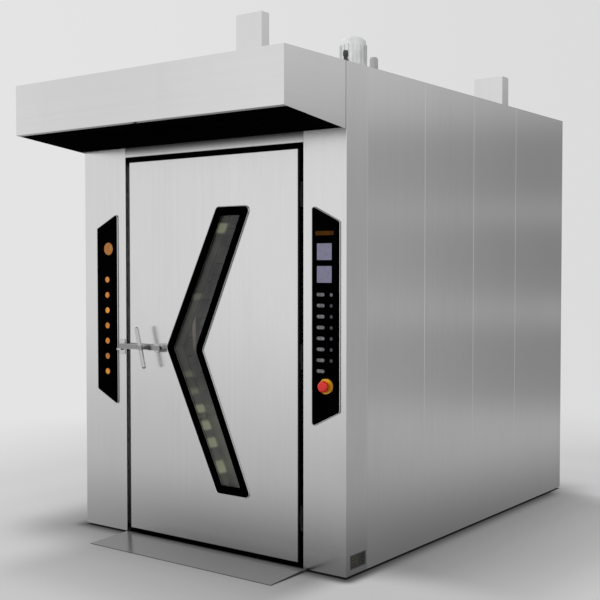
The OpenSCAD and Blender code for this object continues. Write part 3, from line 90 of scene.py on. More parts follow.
class Finish:
    # one material or world, built node by node
    def __init__(self, name, owner=None):
        self.owner = owner or bpy.data.materials.new(name)
        self.owner.use_nodes = True
        self.tree = self.owner.node_tree
        self.tree.nodes.clear()

    def add(self, kind, settings, inputs, output=0):
        node = self.tree.nodes.new(kind)
        for key, value in settings.items():
            if key == "stops":
                ramp = node.color_ramp
                while len(ramp.elements) < len(value):
                    ramp.elements.new(0.5)
                for element, (place, colour) in zip(ramp.elements, value):
                    element.position = place
                    element.color = rgba(colour)
            else:
                setattr(node, key, value)
        for key, value in inputs.items():
            if isinstance(value, Wire):
                self.tree.links.new(value.socket, node.inputs[key])
            elif value is not None:
                node.inputs[key].default_value = value
        return Wire(self, node.outputs[output])

    def place(self, axis):  # a coordinate on the piece at rest, in metres
        point = self.add("ShaderNodeTexCoord", {}, {}, "Object")
        return self.add("ShaderNodeSeparateXYZ", {}, {0: point}, axis)

    def noise(self, scale, detail=2.0, roughness=0.5, stretch=(1, 1, 1)):
        point = self.add("ShaderNodeTexCoord", {}, {}, "Object")
        moved = self.add("ShaderNodeVectorMath", {"operation": "MULTIPLY"}, {0: point, 1: stretch})
        return self.add("ShaderNodeTexNoise", {}, {"Vector": moved, "Scale": scale, "Detail": detail,
                                                   "Roughness": roughness})

    def mix(self, factor, first, second):
        colours = {6: first if isinstance(first, Wire) else rgba(first),
                   7: second if isinstance(second, Wire) else rgba(second)}
        return self.add("ShaderNodeMix", {"data_type": "RGBA"}, {0: factor, **colours}, 2)

    def ramp(self, factor, stops):
        return self.add("ShaderNodeValToRGB", {"stops": stops}, {0: factor})

    def bump(self, height, strength, distance):
        return self.add("ShaderNodeBump", {}, {"Strength": strength, "Distance": distance, "Height": height})

    def surface(self, shader):
        self.addOutput("ShaderNodeOutputMaterial", shader)
        return self.owner

    def addOutput(self, kind, shader):
        node = self.tree.nodes.new(kind)
        self.tree.links.new(shader.socket, node.inputs[0])

    def principled(self, **inputs):
        names = {"colour": "Base Color", "roughness": "Roughness", "metallic": "Metallic", "normal": "Normal",
                 "coat": "Coat Weight", "alpha": "Alpha", "glow": "Emission Color",
                 "glowStrength": "Emission Strength", "specular": "Specular IOR Level", "bend": "IOR"}
        sockets = {}
        for key, value in inputs.items():
            isColour = key in ("colour", "glow") and not isinstance(value, Wire)
            sockets[names[key]] = rgba(value) if isColour else value
        return self.add("ShaderNodeBsdfPrincipled", {}, sockets)


def rgba(colour):
    if isinstance(colour, (int, float)):
        colour = (colour, colour, colour)
    return (*colour, 1.0) if len(colour) == 3 else tuple(colour)


def tone(level):  # the linear value of an 8-bit display tone
    share = level / 255
    return share / 12.92 if share < 0.04045 else ((share + 0.055) / 1.055) ** 2.4


def tones(red, green, blue):
    return (tone(red), tone(green), tone(blue))


def ramped(finish, value, low, high, pairs, level=float):  # pairs of (value, level) from low to high
    stops = [((at - low) / (high - low), level(shade)) for at, shade in pairs]
    return finish.ramp((value - low) / (high - low), stops)


def rayKind(finish, kind):
    return finish.add("ShaderNodeLightPath", {}, {}, kind)


camera = {
    "place": (3.580, -4.985, 1.459),
    "turn": 36.72,      # degrees to the left of straight ahead
    "dip": 1.87,        # degrees below level
    "lens": 62.416,
    "sensor": 36
}


def placeCamera():
    lens = bpy.data.cameras.new("camera")
    lens.lens = camera["lens"]
    lens.sensor_width = camera["sensor"]
    eye = bpy.data.objects.new("camera", lens)
    eye.location = camera["place"]
    eye.rotation_euler = (math.radians(90 - camera["dip"]), 0, math.radians(camera["turn"]))
    scene.collection.objects.link(eye)
    scene.camera = eye


placeCamera()
print("camera placed")


studio = {
    "backdrop": 228,            # display tone at the left of the view
    "backdropRight": 220,
    "backdropTurn": (-0.80, -0.35),     # x of the view's direction, from the left's tone to the right's
    "light": 0.62,              # strength of the soft light from all round
    "lamps": [
        # place, aim, size, power
        ((-4.2, -5.6, 4.4), (0, -1.0, 1.1), 4.0, 330),
        ((5.2, -2.6, 4.6), (0.6, 0.2, 1.2), 3.0, 110),
        ((0.5, 6.0, 4.6), (0, 0.8, 1.4), 4.0, 160)
    ]
}
# what the steel mirrors: screens whose linear level goes by height, as the sine of the angle above
# level. The front mirrors one at its left and right, the side one at its front and rear.
screens = {
    "span": 0.3,                # the heights lie within this, up and down
    "frontTurn": (-0.74, -0.60),        # x of the mirrored direction, from the left column to the right
    "sideTurn": (0.56, 0.18),   # where the front column starts, and how far on the rear one takes over
    "meet": (0.05, 0.30),       # where the side's screen takes over from the front's, in x and in y
    "glare": {"width": 0.04, "share": 0.12, "level": 1.2},      # beyond the front's left end
    "front": [
        # height, left, right
        (-0.28, 0.28, 0.28), (-0.25, 0.34, 0.34), (-0.21, 0.46, 0.47), (-0.18, 0.55, 0.60),
        (-0.145, 0.56, 0.71), (-0.10, 0.62, 0.75), (-0.06, 0.83, 0.90), (-0.03, 0.80, 0.88),
        (0.05, 0.77, 0.87), (0.20, 0.77, 0.84)
    ],
    "side": [
        # height, front, rear
        (-0.28, 0.23, 0.23), (-0.24, 0.28, 0.26), (-0.20, 0.39, 0.36), (-0.18, 0.45, 0.42),
        (-0.145, 0.49, 0.47), (-0.12, 0.385, 0.29), (-0.07, 0.375, 0.265), (-0.057, 0.42, 0.30),
        (-0.048, 0.47, 0.41), (-0.036, 0.46, 0.40), (-0.025, 0.43, 0.28), (0.0, 0.39, 0.255),
        (0.033, 0.385, 0.255), (0.051, 0.46, 0.40), (0.070, 0.385, 0.265), (0.118, 0.365, 0.265),
        (0.147, 0.54, 0.44), (0.175, 0.58, 0.48), (0.22, 0.66, 0.56)
    ]
}
floorLook = {
    "size": 40.0,
    "drop": 0.0005,             # how far it lies below the lowest solids
    "roughness": 0.6,
    "specular": 0.2,
    "glow": 0.55,               # share of the floor's own tone in its brightness near the oven
    "glowReach": (0.5, 3.3),    # distance over which that share grows to all
    "under": 0.01,              # painted shade: linear level below the oven
    "underEdge": 0.004,
    "near": 4.0,                # distance where the tones end
    "shadowLeft": (-0.8, -0.4),
    "shadowRear": (1.45, 0.35),         # where the right-hand shadow ends in y, and its fade
    "clearRear": (1.25, 0.3, 0.22),     # behind this y the painted shade clears sooner: fade and metres
    # where the painted shade eases at the front right corner
    "corner": {"right": (0.72, 0.95), "front": (-0.65, 0.35), "reach": (0.02, 0.09), "tone": 190},
    "far": (2.6, 3.8, 0.075),   # x plus y over which the floor darkens, and how much
    "tones": [
        # distance from the oven, display tone with painted shade beside and behind it, and where its painted
        # shadow falls
        (0.0, 70, 70), (0.02, 92, 92), (0.04, 110, 108), (0.055, 126, 124), (0.075, 136, 134),
        (0.1, 144, 142), (0.17, 153, 146), (0.235, 163, 151), (0.3, 173, 154), (0.36, 182, 159),
        (0.42, 190, 162), (0.5, 196, 167), (0.6, 199, 171), (0.78, 200, 180), (0.885, 202, 188),
        (1.0, 204, 195), (1.4, 205, 202), (2.0, 214, 208), (2.7, 221, 214), (3.5, 227, 219),
        (4.0, 228, 220)
    ]
}


def screen(finish, height, turn, rows):  # turn goes from the first level of a row to the second
    span = screens["span"]
    first = ramped(finish, height, -span, span, [(at, one) for at, one, other in rows])
    second = ramped(finish, height, -span, span, [(at, other) for at, one, other in rows])
    return finish.mix(turn, first, second)


def makeWorld():
    world = bpy.data.worlds.new("studio")
    scene.world = world
    sky = Finish("studio", world)
    aim = sky.add("ShaderNodeTexCoord", {}, {}, "Generated")
    across = sky.add("ShaderNodeSeparateXYZ", {}, {0: aim}, "X")
    along = sky.add("ShaderNodeSeparateXYZ", {}, {0: aim}, "Y")
    rise = sky.add("ShaderNodeSeparateXYZ", {}, {0: aim}, "Z")
    glare = screens["glare"]
    front = screen(sky, rise, across.over(*screens["frontTurn"]), screens["front"])
    beyond = (screens["frontTurn"][0] - across).over(0.0, glare["width"]) * glare["share"]
    edged = sky.mix(beyond, front, glare["level"])
    sideStart, sideWidth = screens["sideTurn"]
    side = screen(sky, rise, (sideStart - across).over(0.0, sideWidth), screens["side"])
    mirrored = sky.mix(across.over(*screens["meet"]) * along.over(*screens["meet"]), edged, side)
    shown = sky.mix(across.over(*studio["backdropTurn"]), tone(studio["backdrop"]),
                    tone(studio["backdropRight"]))
    plain = rayKind(sky, "Is Camera Ray").larger(rayKind(sky, "Is Transmission Ray"))
    level = sky.mix(plain, sky.mix(rayKind(sky, "Is Glossy Ray"), studio["light"], mirrored), shown)
    sky.addOutput("ShaderNodeOutputWorld", sky.add("ShaderNodeBackground", {}, {0: level, 1: 1.0}))


def floorFinish():  # painted shade by distance from the oven's footprint, with a painted shadow in front and to the right
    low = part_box("left_pillar")[0]
    high = (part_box("right_pillar")[1][0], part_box("rear_casing")[1][1])
    finish = Finish("floor")
    across = finish.place("X")
    besideX = (across - (low[0] + high[0]) / 2).absolute() - (high[0] - low[0]) / 2
    besideY = (finish.place("Y") - (low[1] + high[1]) / 2).absolute() - (high[1] - low[1]) / 2
    reach = (besideX.larger(0.0) ** 2.0 + besideY.larger(0.0) ** 2.0) ** 0.5
    under = 1.0 - besideX.larger(besideY).over(-floorLook["underEdge"], floorLook["underEdge"])
    along = finish.place("Y")
    shadowEnd, shadowFade = floorLook["shadowRear"]
    shadowed = across.over(*floorLook["shadowLeft"]) * (shadowEnd - along).over(0.0, shadowFade)
    clearFrom, clearFade, sooner = floorLook["clearRear"]
    clear = reach + (along - clearFrom).over(0.0, clearFade) * sooner
    rows, near = floorLook["tones"], floorLook["near"]
    beside = ramped(finish, clear, 0.0, near, [(at, one) for at, one, other in rows], tone)
    shaded = ramped(finish, reach, 0.0, near, [(at, other) for at, one, other in rows], tone)
    corner = floorLook["corner"]
    cornerFront, cornerFade = corner["front"]
    lift = across.over(*corner["right"]) * (cornerFront - along).over(0.0, cornerFade)
    rounded = finish.mix(lift * reach.over(*corner["reach"]), shaded, shaded.larger(tone(corner["tone"])))
    farFrom, farTo, darkening = floorLook["far"]
    tinted = finish.mix((across + along).over(farFrom, farTo) * darkening, beside, 0.0)
    seen = finish.mix(shadowed, tinted, rounded)
    shade = finish.mix(under, seen, floorLook["under"])
    lit = finish.principled(colour=shade, roughness=floorLook["roughness"], specular=floorLook["specular"])
    glow = finish.add("ShaderNodeEmission", {}, {0: shade, 1: 1.0})
    share = rayKind(finish, "Is Camera Ray").larger(rayKind(finish, "Is Transmission Ray")) * (
        reach.over(*floorLook["glowReach"]) * (1.0 - floorLook["glow"]) + floorLook["glow"])
    return finish.surface(finish.add("ShaderNodeMixShader", {}, {0: share, 1: lit, 2: glow}))


def makeFloor():
    mesh = bpy.data.meshes.new("floor")
    shape = bmesh.new()
    bmesh.ops.create_grid(shape, x_segments=8, y_segments=8, size=floorLook["size"] / 2)
    shape.to_mesh(mesh)
    shape.free()
    mesh.materials.append(floorFinish())
    floor = bpy.data.objects.new("floor", mesh)
    floor.location = (0, 0, -floorLook["drop"])
    floor.visible_glossy = False
    scene.collection.objects.link(floor)


def makeLamps():  # kept out of the steel's mirror, which shows the screens alone
    for i, (place, aim, size, power) in enumerate(studio["lamps"]):
        light = bpy.data.lights.new(f"softbox{i}", "AREA")
        light.shape = "SQUARE"
        light.size = size
        light.energy = power
        lamp = bpy.data.objects.new(f"softbox{i}", light)
        lamp.location = place
        lamp.rotation_euler = (Vector(aim) - Vector(place)).to_track_quat("-Z", "Y").to_euler()
        lamp.visible_glossy = False
        scene.collection.objects.link(lamp)


makeWorld()
makeFloor()
makeLamps()
print("studio lit")


sheetSteel = {
    "tone": 232,                # display tone of a clean sheet
    "along": 4.0,               # texture scale with the brushing and across it
    "across": 900.0,
    "bandScale": 0.06,          # of the broad bands against the fine lines
    "lines": 0.10,              # how much the lines, the bands and the whole sheet darken
    "bands": 0.08,
    "even": 0.05,
    "dark": 0.35,
    "smudgeTone": 120,
    "footShadeHeights": (-0.12, 0.45)        # the painted shade near the floor clears over these heights
}
coated = {
    "darker": 0.72,             # the cloudy tone's ends, as shares of the colour
    "lighter": 1.3,
    "rubbed": (0.5, 0.25),      # share of the colour left where it is rubbed, and what is added
    "dust": (150, 146, 138)
}


def brushedSteel(name, level, grain="upright", roughness=0.13, warmth=0.0, smudge=0.03, footShade=None,
                 metallic=1.0, paintedShade=None):
    # level is the display tone of the clean sheet, footShade the share of it that painted shade leaves at the
    # floor, from low to high along an axis, and paintedShade gives how much of it a painted shadow or painted
    # dark edge takes
    finish = Finish(name)
    long, fine = sheetSteel["along"], sheetSteel["across"]
    stretch = (fine, fine, long) if grain == "upright" else (long, long, fine)
    lines = finish.noise(1.0, 3.0, 0.7, stretch)
    bands = finish.noise(1.0, 2.0, 0.5, tuple(s * sheetSteel["bandScale"] for s in stretch))
    cloud = finish.noise(1.3, 3.0, 0.55)
    wipe = finish.noise(5.0, 4.0, 0.6, (1, 1, 0.35))
    base = tone(level)
    clean = (base * (1 + warmth), base, base * (1 - warmth))
    colour = clean
    # painted shade near the floor, deepest at the bottom
    if footShade:
        axis, start, end, first, last = footShade
        low = finish.mix(finish.place(axis).over(start, end), tuple(c * first for c in clean),
                         tuple(c * last for c in clean))
        colour = finish.mix(finish.place("Z").over(*sheetSteel["footShadeHeights"]), low, clean)
    grained = finish.mix((lines - 0.5) * sheetSteel["lines"] + (bands - 0.5) * sheetSteel["bands"]
                         + sheetSteel["even"], colour, sheetSteel["dark"])
    smudgedAndShaded = finish.mix(wipe.over(0.45, 0.75) * smudge, grained, tone(sheetSteel["smudgeTone"]))
    # painted shade from the piece's own mask, laid over the real smudges
    if paintedShade:
        smudgedAndShaded = finish.mix(paintedShade(finish), smudgedAndShaded, 0.0)
    rough = roughness + (lines - 0.5) * 0.06 + (cloud - 0.5) * 0.04 + wipe.over(0.5, 0.8) * smudge * 0.5
    bump = finish.bump(lines + bands * 0.5, 0.12, 0.0002)
    return finish.surface(finish.principled(colour=smudgedAndShaded, metallic=metallic, roughness=rough, normal=bump))


def paint(name, colour, roughness=0.4, grain=250.0, depth=0.15, wear=0.15, dust=0.10, coat=0.0,
          metallic=0.0, specular=0.5):
    # a coated or cast surface: a fine skin, cloudy tone, rubbed and dusty patches
    finish = Finish(name)
    skin = finish.noise(grain, 3.0, 0.6)
    cloud = finish.noise(6.0, 4.0, 0.6)
    rub = finish.noise(22.0, 5.0, 0.65)
    darker = tuple(c * coated["darker"] for c in colour)
    lighter = tuple(min(1.0, c * coated["lighter"]) for c in colour)
    left, added = coated["rubbed"]
    base = finish.mix(cloud.over(0.25, 0.75), darker, lighter)
    worn = finish.mix(rub.over(0.58, 0.80) * wear, base, tuple(min(1.0, c * left + added) for c in colour))
    dusty = finish.mix(cloud.over(0.5, 0.85) * dust, worn, tones(*coated["dust"]))
    rough = roughness + (rub - 0.5) * 0.18 + cloud.over(0.5, 0.85) * dust
    bump = finish.bump(skin + rub * 0.4, depth, 0.0004)
    return finish.surface(finish.principled(colour=dusty, roughness=rough, coat=coat, metallic=metallic,
                                            specular=specular, normal=bump))


def glowing(name, pair, strength, scale=300.0, base=0.02, share=None, shine=0.2):
    # a backlit print or lens: the light is uneven between a pair of display tones, the unlit skin is
    # dark, and share dims single ones
    finish = Finish(name)
    spread = finish.noise(scale, 2.0, 0.5)
    dots = finish.noise(40.0, 2.0, 0.5)
    weak, strong = (tones(*one) for one in pair)
    lit = finish.mix(spread.over(0.2, 0.8) * 0.6 + dots.over(0.3, 0.7) * 0.4, weak, strong)
    if share:
        lit = finish.mix(share(finish), 0.0, lit)
    return finish.surface(finish.principled(colour=base, roughness=0.35 + (spread - 0.5) * 0.1, glow=lit,
                                            glowStrength=strength, specular=shine))


def dress(material, *names):
    for name in names:
        slots = nodes[name].data.materials
        for i in range(len(slots)):
            slots[i] = material
        if not slots:
            slots.append(material)


casing = {
    "grain": "upright",
    "frontRoughness": 0.22,
    "frontFootShade": ("X", -0.95, 0.2, 0.68, 0.33),         # painted shade near the floor: axis, its ends, and the share of the colour left at the floor at each
    "sideFootShade": ("Y", -1.0, -0.4, 0.62, 0.57),
    "sideTone": 230,
    "roofTone": 222,
    "linerTone": 190,
    "heatTone": 150,
    "lipShade": (0.0005, 0.002),     # painted shade: the header's bottom edge, in the gap over the door, is dark
    "hoodShade": (0.010, 0.075, 0.92),          # painted shade: the header darkens up under the hood
    "moduleLength": 0.54,       # from one seam of the side to the next
    "seams": 4,
    "seamWidth": (0.003, 0.006),
    "seamShade": 0.09,
    "frameShade": (0.020, 0.005)        # painted shade: the door frame is dark above the door's top edge
}


# painted shade on the header: up under the hood, and along its bottom edge over the door
def headerShade(finish):
    height, low = finish.place("Z"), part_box("front_header")[0][2]
    lipBelow, lipHeight = casing["lipShade"]
    below, rise, depth = casing["hoodShade"]
    return ((height - (low - below)).over(0.0, rise) * depth).larger(
        1.0 - (height - (low - lipBelow)).over(0.0, lipHeight))


def seamPlaces():
    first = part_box("left_side_panels")[0][1]
    return [first + i * casing["moduleLength"] for i in range(casing["seams"])]


def seamShade(finish):  # painted shade beside the seams, which takes the glare off the folded edges
    along, seams = finish.place("Y"), 0.0
    for at in seamPlaces():
        seams = (1.0 - (along - at).absolute().over(*casing["seamWidth"])) + seams
    return seams * casing["seamShade"]


# painted shade on the door frame above the door
def frameShade(finish):
    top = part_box("door_outer_skin")[1][2]
    below, above = casing["frameShade"]
    return finish.place("Z").over(top - below, top + above)


def wool(name):
    finish = Finish(name)
    fibre = finish.noise(160.0, 5.0, 0.75, (1, 1, 5))
    tuft = finish.noise(14.0, 4.0, 0.6)
    pale = finish.mix(tuft, tones(196, 180, 120), tones(170, 148, 90))
    colour = finish.mix(fibre, tones(120, 104, 60), pale)
    return finish.surface(finish.principled(colour=colour, roughness=0.9 + (tuft - 0.5) * 0.1, specular=0.1,
                                            normal=finish.bump(fibre + tuft, 0.8, 0.004)))


def dressCasing():
    steel, grain, rough = sheetSteel["tone"], casing["grain"], casing["frontRoughness"]
    frontSteel = brushedSteel("frontSteel", steel, grain, rough, footShade=casing["frontFootShade"])
    headerSteel = brushedSteel("headerSteel", steel, "level", 0.2, paintedShade=headerShade)
    sideSteel = brushedSteel("sideSteel", casing["sideTone"], grain, footShade=casing["sideFootShade"], paintedShade=seamShade)
    roofSteel = brushedSteel("roofSteel", casing["roofTone"], "level", 0.2, smudge=0.05)
    frameSteel = brushedSteel("frameSteel", steel, grain, 0.2, smudge=0.08, paintedShade=frameShade)
    linerSteel = brushedSteel("linerSteel", casing["linerTone"], "level", 0.42, 0.03, smudge=0.25)
    heatSteel = brushedSteel("heatSteel", casing["heatTone"], "level", 0.5, 0.12, smudge=0.4)
    dress(frontSteel, "left_pillar", "right_pillar")
    dress(headerSteel, "front_header")
    dress(sideSteel, "left_side_panels", "right_side_panels", "rear_casing")
    dress(roofSteel, "roof_panels")
    dress(frameSteel, "door_frame", "door_inner_skin")
    dress(linerSteel, "chamber_side_walls", "chamber_rear_wall", "chamber_ceiling", "chamber_floor")
    dress(heatSteel, "heat_exchanger")
    dress(paint("paintedBase", tones(96, 96, 94), 0.5), "floor_slab")
    dress(paint("rubberFeet", tones(28, 28, 28), 0.8, 400, 0.3, specular=0.2), "levelling_feet")
    dress(wool("mineralWool"), "wall_insulation", "door_core")


dressCasing()
print("casing dressed")


roof = {
    "seam": (0.012, 0.008, 0.35),       # the shaded seam behind the hood: its start and end, and depth
    "drivePaint": (205, 206, 206),
    "gland": (146, 146, 146)
}


def hoodShade(finish):
    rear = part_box("hood_shell")[1][1]
    start, end, depth = roof["seam"]
    return finish.place("Y").over(rear - start, rear - end) * depth


def dressRoof():
    hoodSteel = brushedSteel("hoodSteel", sheetSteel["tone"], "level", paintedShade=hoodShade)
    ductSteel = brushedSteel("ductSteel", sheetSteel["tone"], "upright", 0.2)
    # pitch black and unreflecting, on the hood's underside
    unreflectingBlack = paint("unreflectingBlack", tones(4, 4, 5), 0.75, wear=0.0, dust=0.0, specular=0.0)
    bearingIron = paint("bearingIron", tones(70, 74, 76), 0.55, 90, 0.5, metallic=0.6)
    dress(hoodSteel, "hood_shell")
    dress(unreflectingBlack, "hood_underside")
    dress(ductSteel, "hood_duct", "flue_duct", "steam_damper")
    dress(paint("drivePaint", tones(*roof["drivePaint"]), 0.5, 160, 0.3, metallic=0.2), "drive_motor")
    dress(paint("glandPlastic", tones(*roof["gland"]), 0.5), "cable_gland")
    dress(bearingIron, "drive_bearing", "motor_pulley")
    dress(paint("beltRubber", tones(26, 26, 26), 0.75, 500, 0.4, specular=0.2), "drive_belt")


dressRoof()
print("hood and roof dressed")


door = {
    "gap": (0.0095, 0.0075, 0.97),      # painted shade: the dark strip at the hinge side, from, to, and depth
    "leverTone": 214,
    "barEdge": (0.011, 0.014),  # above and below the lever's middle, where the painted shade on its bar ends
    "barShade": 0.35,
    "leverShade": 0.15
}
window = {
    "front": (0.0005, 0.0015),  # depth over which the black front gives way to polished metal
    "reveal": (212, 196),
    # painted light: the reveal glows in bands, standing for the chamber's light
    "paintedGlowDepth": (0.004, 0.010),
    "paintedGlowColour": (0.185, 0.195, 0.115),
    "paintedGlowTop": 2.0,
    "paintedGlowEdge": 0.004,
    "levels": [
        # height, half height, strength
        (0.430, 0.028, 1.15), (0.549, 0.020, 1.1), (0.634, 0.020, 1.1), (0.720, 0.016, 1.0),
        (0.806, 0.012, 0.45), (0.893, 0.012, 0.3), (1.300, 0.012, 0.35), (1.650, 0.022, 0.95)
    ],
    # painted light between the bands, by height
    "between": [(0.40, 0.03), (0.95, 0.05), (1.05, 0.06), (1.2, 0.07), (1.35, 0.02)],
    "inner": (0.02, 0.03),      # depth over which the inner, greasier pane begins
    "greaseHeights": (0.45, 1.0),
    "grease": 0.45,
    "tint": 0.17                # least share of light that a pane holds back
}


# painted shade along the door's hinge edge
def doorShade(finish):
    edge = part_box("door_outer_skin")[1][0]
    start, end, depth = door["gap"]
    return finish.place("X").over(edge - start, edge - end) * depth


# painted shade on the lever, deepest on its bar
def leverShade(finish):
    low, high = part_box("latch_lever")
    fromMiddle = (finish.place("Z") - (low[2] + high[2]) / 2).absolute()
    return (1.0 - fromMiddle.over(*door["barEdge"])) * door["barShade"] + door["leverShade"]


def windowFrame(name):
    # black in front, polished metal down between the panes, whose left side has a painted glow in
    # bands for the chamber's light
    finish = Finish(name)
    depth = finish.place("Y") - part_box("door_outer_skin")[0][1]
    deep = depth.over(*window["front"])
    cloud = finish.noise(20.0, 3.0, 0.6)
    bright, dull = window["reveal"]
    colour = finish.mix(deep, 0.0004, finish.mix(cloud.over(0.3, 0.8), tone(bright), tone(dull)))
    height = finish.place("Z")
    stops, edge, top = [], window["paintedGlowEdge"], window["paintedGlowTop"]
    for middle, half, level in window["levels"]:
        stops += [(middle - half - edge, 0.0), (middle - half, level), (middle + half, level),
                  (middle + half + edge, 0.0)]
    paintedBand = ramped(finish, height, 0.0, top, stops) * depth.over(*window["paintedGlowDepth"])
    broad = ramped(finish, height, 0.0, top, window["between"])
    turned = finish.add("ShaderNodeTexCoord", {}, {}, "Normal")
    left = finish.add("ShaderNodeSeparateXYZ", {}, {0: turned}, "X").over(0.3, 0.6)
    share = (paintedBand + broad) * deep * left * (cloud * 0.8 + 0.6)
    glow = finish.mix(share, 0.0, window["paintedGlowColour"])
    return finish.surface(finish.principled(colour=colour, metallic=deep, specular=0.0, glow=glow,
                                            glowStrength=1.0, roughness=0.5 - deep * 0.38 + cloud * 0.06))


def clearPane(name):
    # tinted oven glass: most of the light from inside is held back, and grease films it a little
    finish = Finish(name)
    film = finish.noise(7.0, 4.0, 0.6)
    streak = finish.noise(1.0, 3.0, 0.6, (30, 30, 3))
    inner = (finish.place("Y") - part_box("window_glass")[0][1]).over(*window["inner"])
    grease = inner * (1.0 - finish.place("Z").over(*window["greaseHeights"])) * (film * 0.5 + 0.7)
    haze = film.over(0.35, 0.85) * 0.08 + streak.over(0.5, 0.9) * 0.05 + grease * window["grease"]
    colour = finish.mix(haze.over(0.0, 0.3), tones(4, 4, 4), tones(120, 120, 108))
    return finish.surface(finish.principled(colour=colour, roughness=haze * 0.8 + 0.04, specular=1.0,
                                            bend=1.8, alpha=haze + window["tint"]))


def dressDoor():
    doorSteel = brushedSteel("doorSteel", sheetSteel["tone"], casing["grain"], casing["frontRoughness"],
                             footShade=casing["frontFootShade"], paintedShade=doorShade)
    hingeSteel = paint("hingeSteel", tones(30, 30, 31), 0.5, metallic=0.6, specular=0.2)
    dress(doorSteel, "door_outer_skin")
    dress(windowFrame("windowFrame"), "window_frame")
    dress(clearPane("windowPane"), "window_glass")
    dress(paint("sealRubber", tones(34, 33, 32), 0.75, 300, 0.3, specular=0.25), "door_seal")
    dress(hingeSteel, "door_hinges", "frame_hinges")
    dress(brushedSteel("leverSteel", door["leverTone"], "level", 0.2, paintedShade=leverShade), "latch_lever")


polished = brushedSteel("polishedSteel", door["leverTone"], "level", 0.16)
dressDoor()
dress(polished, "latch_spindle", "latch_keeper")
print("door dressed")


panels = {
    "amber": [(170, 80, 10), (235, 160, 40)],           # display tones where it is weak and strong
    "display": [(98, 95, 118), (118, 116, 138)],
    "keys": [(58, 58, 64), (120, 120, 126)],
    "yellow": (196, 142, 18),
    "red": (190, 26, 14),
    "lightSteps": [
        # height as a share of the row of lights, and strength: the third light from the top is the
        # brightest and the sixth the weakest
        (0.0, 0.85), (0.083, 0.85), (0.1, 0.62), (0.24, 0.62), (0.26, 0.8), (0.4, 0.8), (0.42, 0.85),
        (0.56, 0.85), (0.58, 1.0), (0.74, 1.0), (0.76, 0.8), (1.0, 0.8)
    ],
    "rightKeys": (0.60, 0.62),  # share of the keys' width where the right-hand column begins
    "topKey": (0.040, 0.035),   # how far below the top the lit key of that column ends
    "keyLevel": 0.85,
    "dimmed": 0.6
}


def darkGlass(name):
    finish = Finish(name)
    film = finish.noise(3.0, 4.0, 0.6, (1, 1, 0.4))
    flecks = finish.noise(140.0, 2.0, 0.5)
    colour = finish.mix(film.over(0.4, 0.8) * 0.4 + flecks.over(0.68, 0.8) * 0.3, 0.0003, 0.002)
    return finish.surface(finish.principled(colour=colour, roughness=film.over(0.3, 0.9) * 0.10 + 0.06,
                                            specular=0.0))


def lightShare(finish):
    low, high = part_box("status_lights")
    height = (finish.place("Z") - low[2]) / (high[2] - low[2])
    return ramped(finish, height, 0.0, 1.0, panels["lightSteps"])


def keyShare(finish):  # of the right-hand keys only the top one is fully lit
    low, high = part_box("touch_keys")
    width = high[0] - low[0]
    right = finish.place("X").over(*(low[0] + share * width for share in panels["rightKeys"]))
    lower = 1.0 - finish.place("Z").over(*(high[2] - drop for drop in panels["topKey"]))
    return panels["keyLevel"] - right * lower * panels["dimmed"]


def dressPanels():
    dress(darkGlass("blackGlass"), "glass_panels")
    dress(glowing("amberLights", panels["amber"], 1.0, share=lightShare), "status_lights")
    dress(glowing("displayFilm", panels["display"], 1.0, 900.0), "displays")
    dress(glowing("keyPrint", panels["keys"], 1.0, 120.0, share=keyShare), "touch_keys")
    dress(paint("yellowPlastic", tones(*panels["yellow"]), 0.35, 300, 0.06, 0.05, 0.04), "estop_collar")
    dress(paint("redPlastic", tones(*panels["red"]), 0.35, 300, 0.05, 0.02, 0.0, coat=0.1), "estop_button")
    dress(paint("boardPlastic", tones(20, 78, 44), 0.4), "control_board")
    dress(paint("ventPlastic", tones(52, 52, 54), 0.5, 200, 0.15), "service_vent")


dressPanels()
print("control panels dressed")


inside = {
    "rackTone": 176,
    "shaftTone": 170,
    "forkTone": 160,
    "lamp": [(255, 244, 205), (255, 248, 222)],
    "lampLevel": 1.0
}


def dressInside():
    forkSteel = brushedSteel("forkSteel", inside["forkTone"], "level", 0.36)
    wheelResin = paint("wheelResin", tones(118, 76, 44), 0.5, 200, 0.2)
    dress(brushedSteel("rackSteel", inside["rackTone"], "level", 0.34, 0.02), "rack_frame", "rack_carrier")
    dress(brushedSteel("shaftSteel", inside["shaftTone"], "level", 0.28), "rack_shaft", "circulation_fan")
    dress(glowing("lampGlass", inside["lamp"], inside["lampLevel"], 60.0, 0.6), "chamber_lamps")
    dress(paint("motorPaint", tones(52, 78, 108), 0.42, 160, 0.3), "circulation_motor")
    dress(paint("burnerPaint", tones(158, 34, 26), 0.4, 160, 0.3), "burner")
    dress(paint("steamIron", tones(88, 82, 76), 0.7, 60, 0.8, metallic=0.7), "steam_generator")
    dress(forkSteel, "swivel_fork_left", "swivel_fork_right")
    dress(wheelResin, "wheel_front_left", "wheel_front_right", "wheel_rear_left", "wheel_rear_right")


dressInside()
print("inside dressed")


ramp = {
    "tone": 124,
    "metallic": 0.4,
    "shadeUnderDoor": (-0.03, -0.004),       # painted shade under the door: distance from the door's face over which it darkens
    "frontEdgeShade": (0.003, 0.001, 0.6),   # width, fade and depth of the painted shade on the front edge
    "rightEdgeShade": (-0.003, -0.002, 0.85)         # start, end and depth of the painted shade on the right end
}


# painted shade on the ramp: under the door, on its front edge and on its right end
def rampShade(finish):
    low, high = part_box("entry_ramp")
    along, across = finish.place("Y"), finish.place("X")
    width, fade, depth = ramp["frontEdgeShade"]
    start, end, rightDepth = ramp["rightEdgeShade"]
    under = (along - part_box("door_outer_skin")[0][1]).over(*ramp["shadeUnderDoor"])
    frontEdgeShade = (low[1] + width - along).over(0.0, fade) * depth
    rightEdgeShade = (across - high[0]).over(start, end) * rightDepth
    return under.larger(frontEdgeShade).larger(rightEdgeShade)


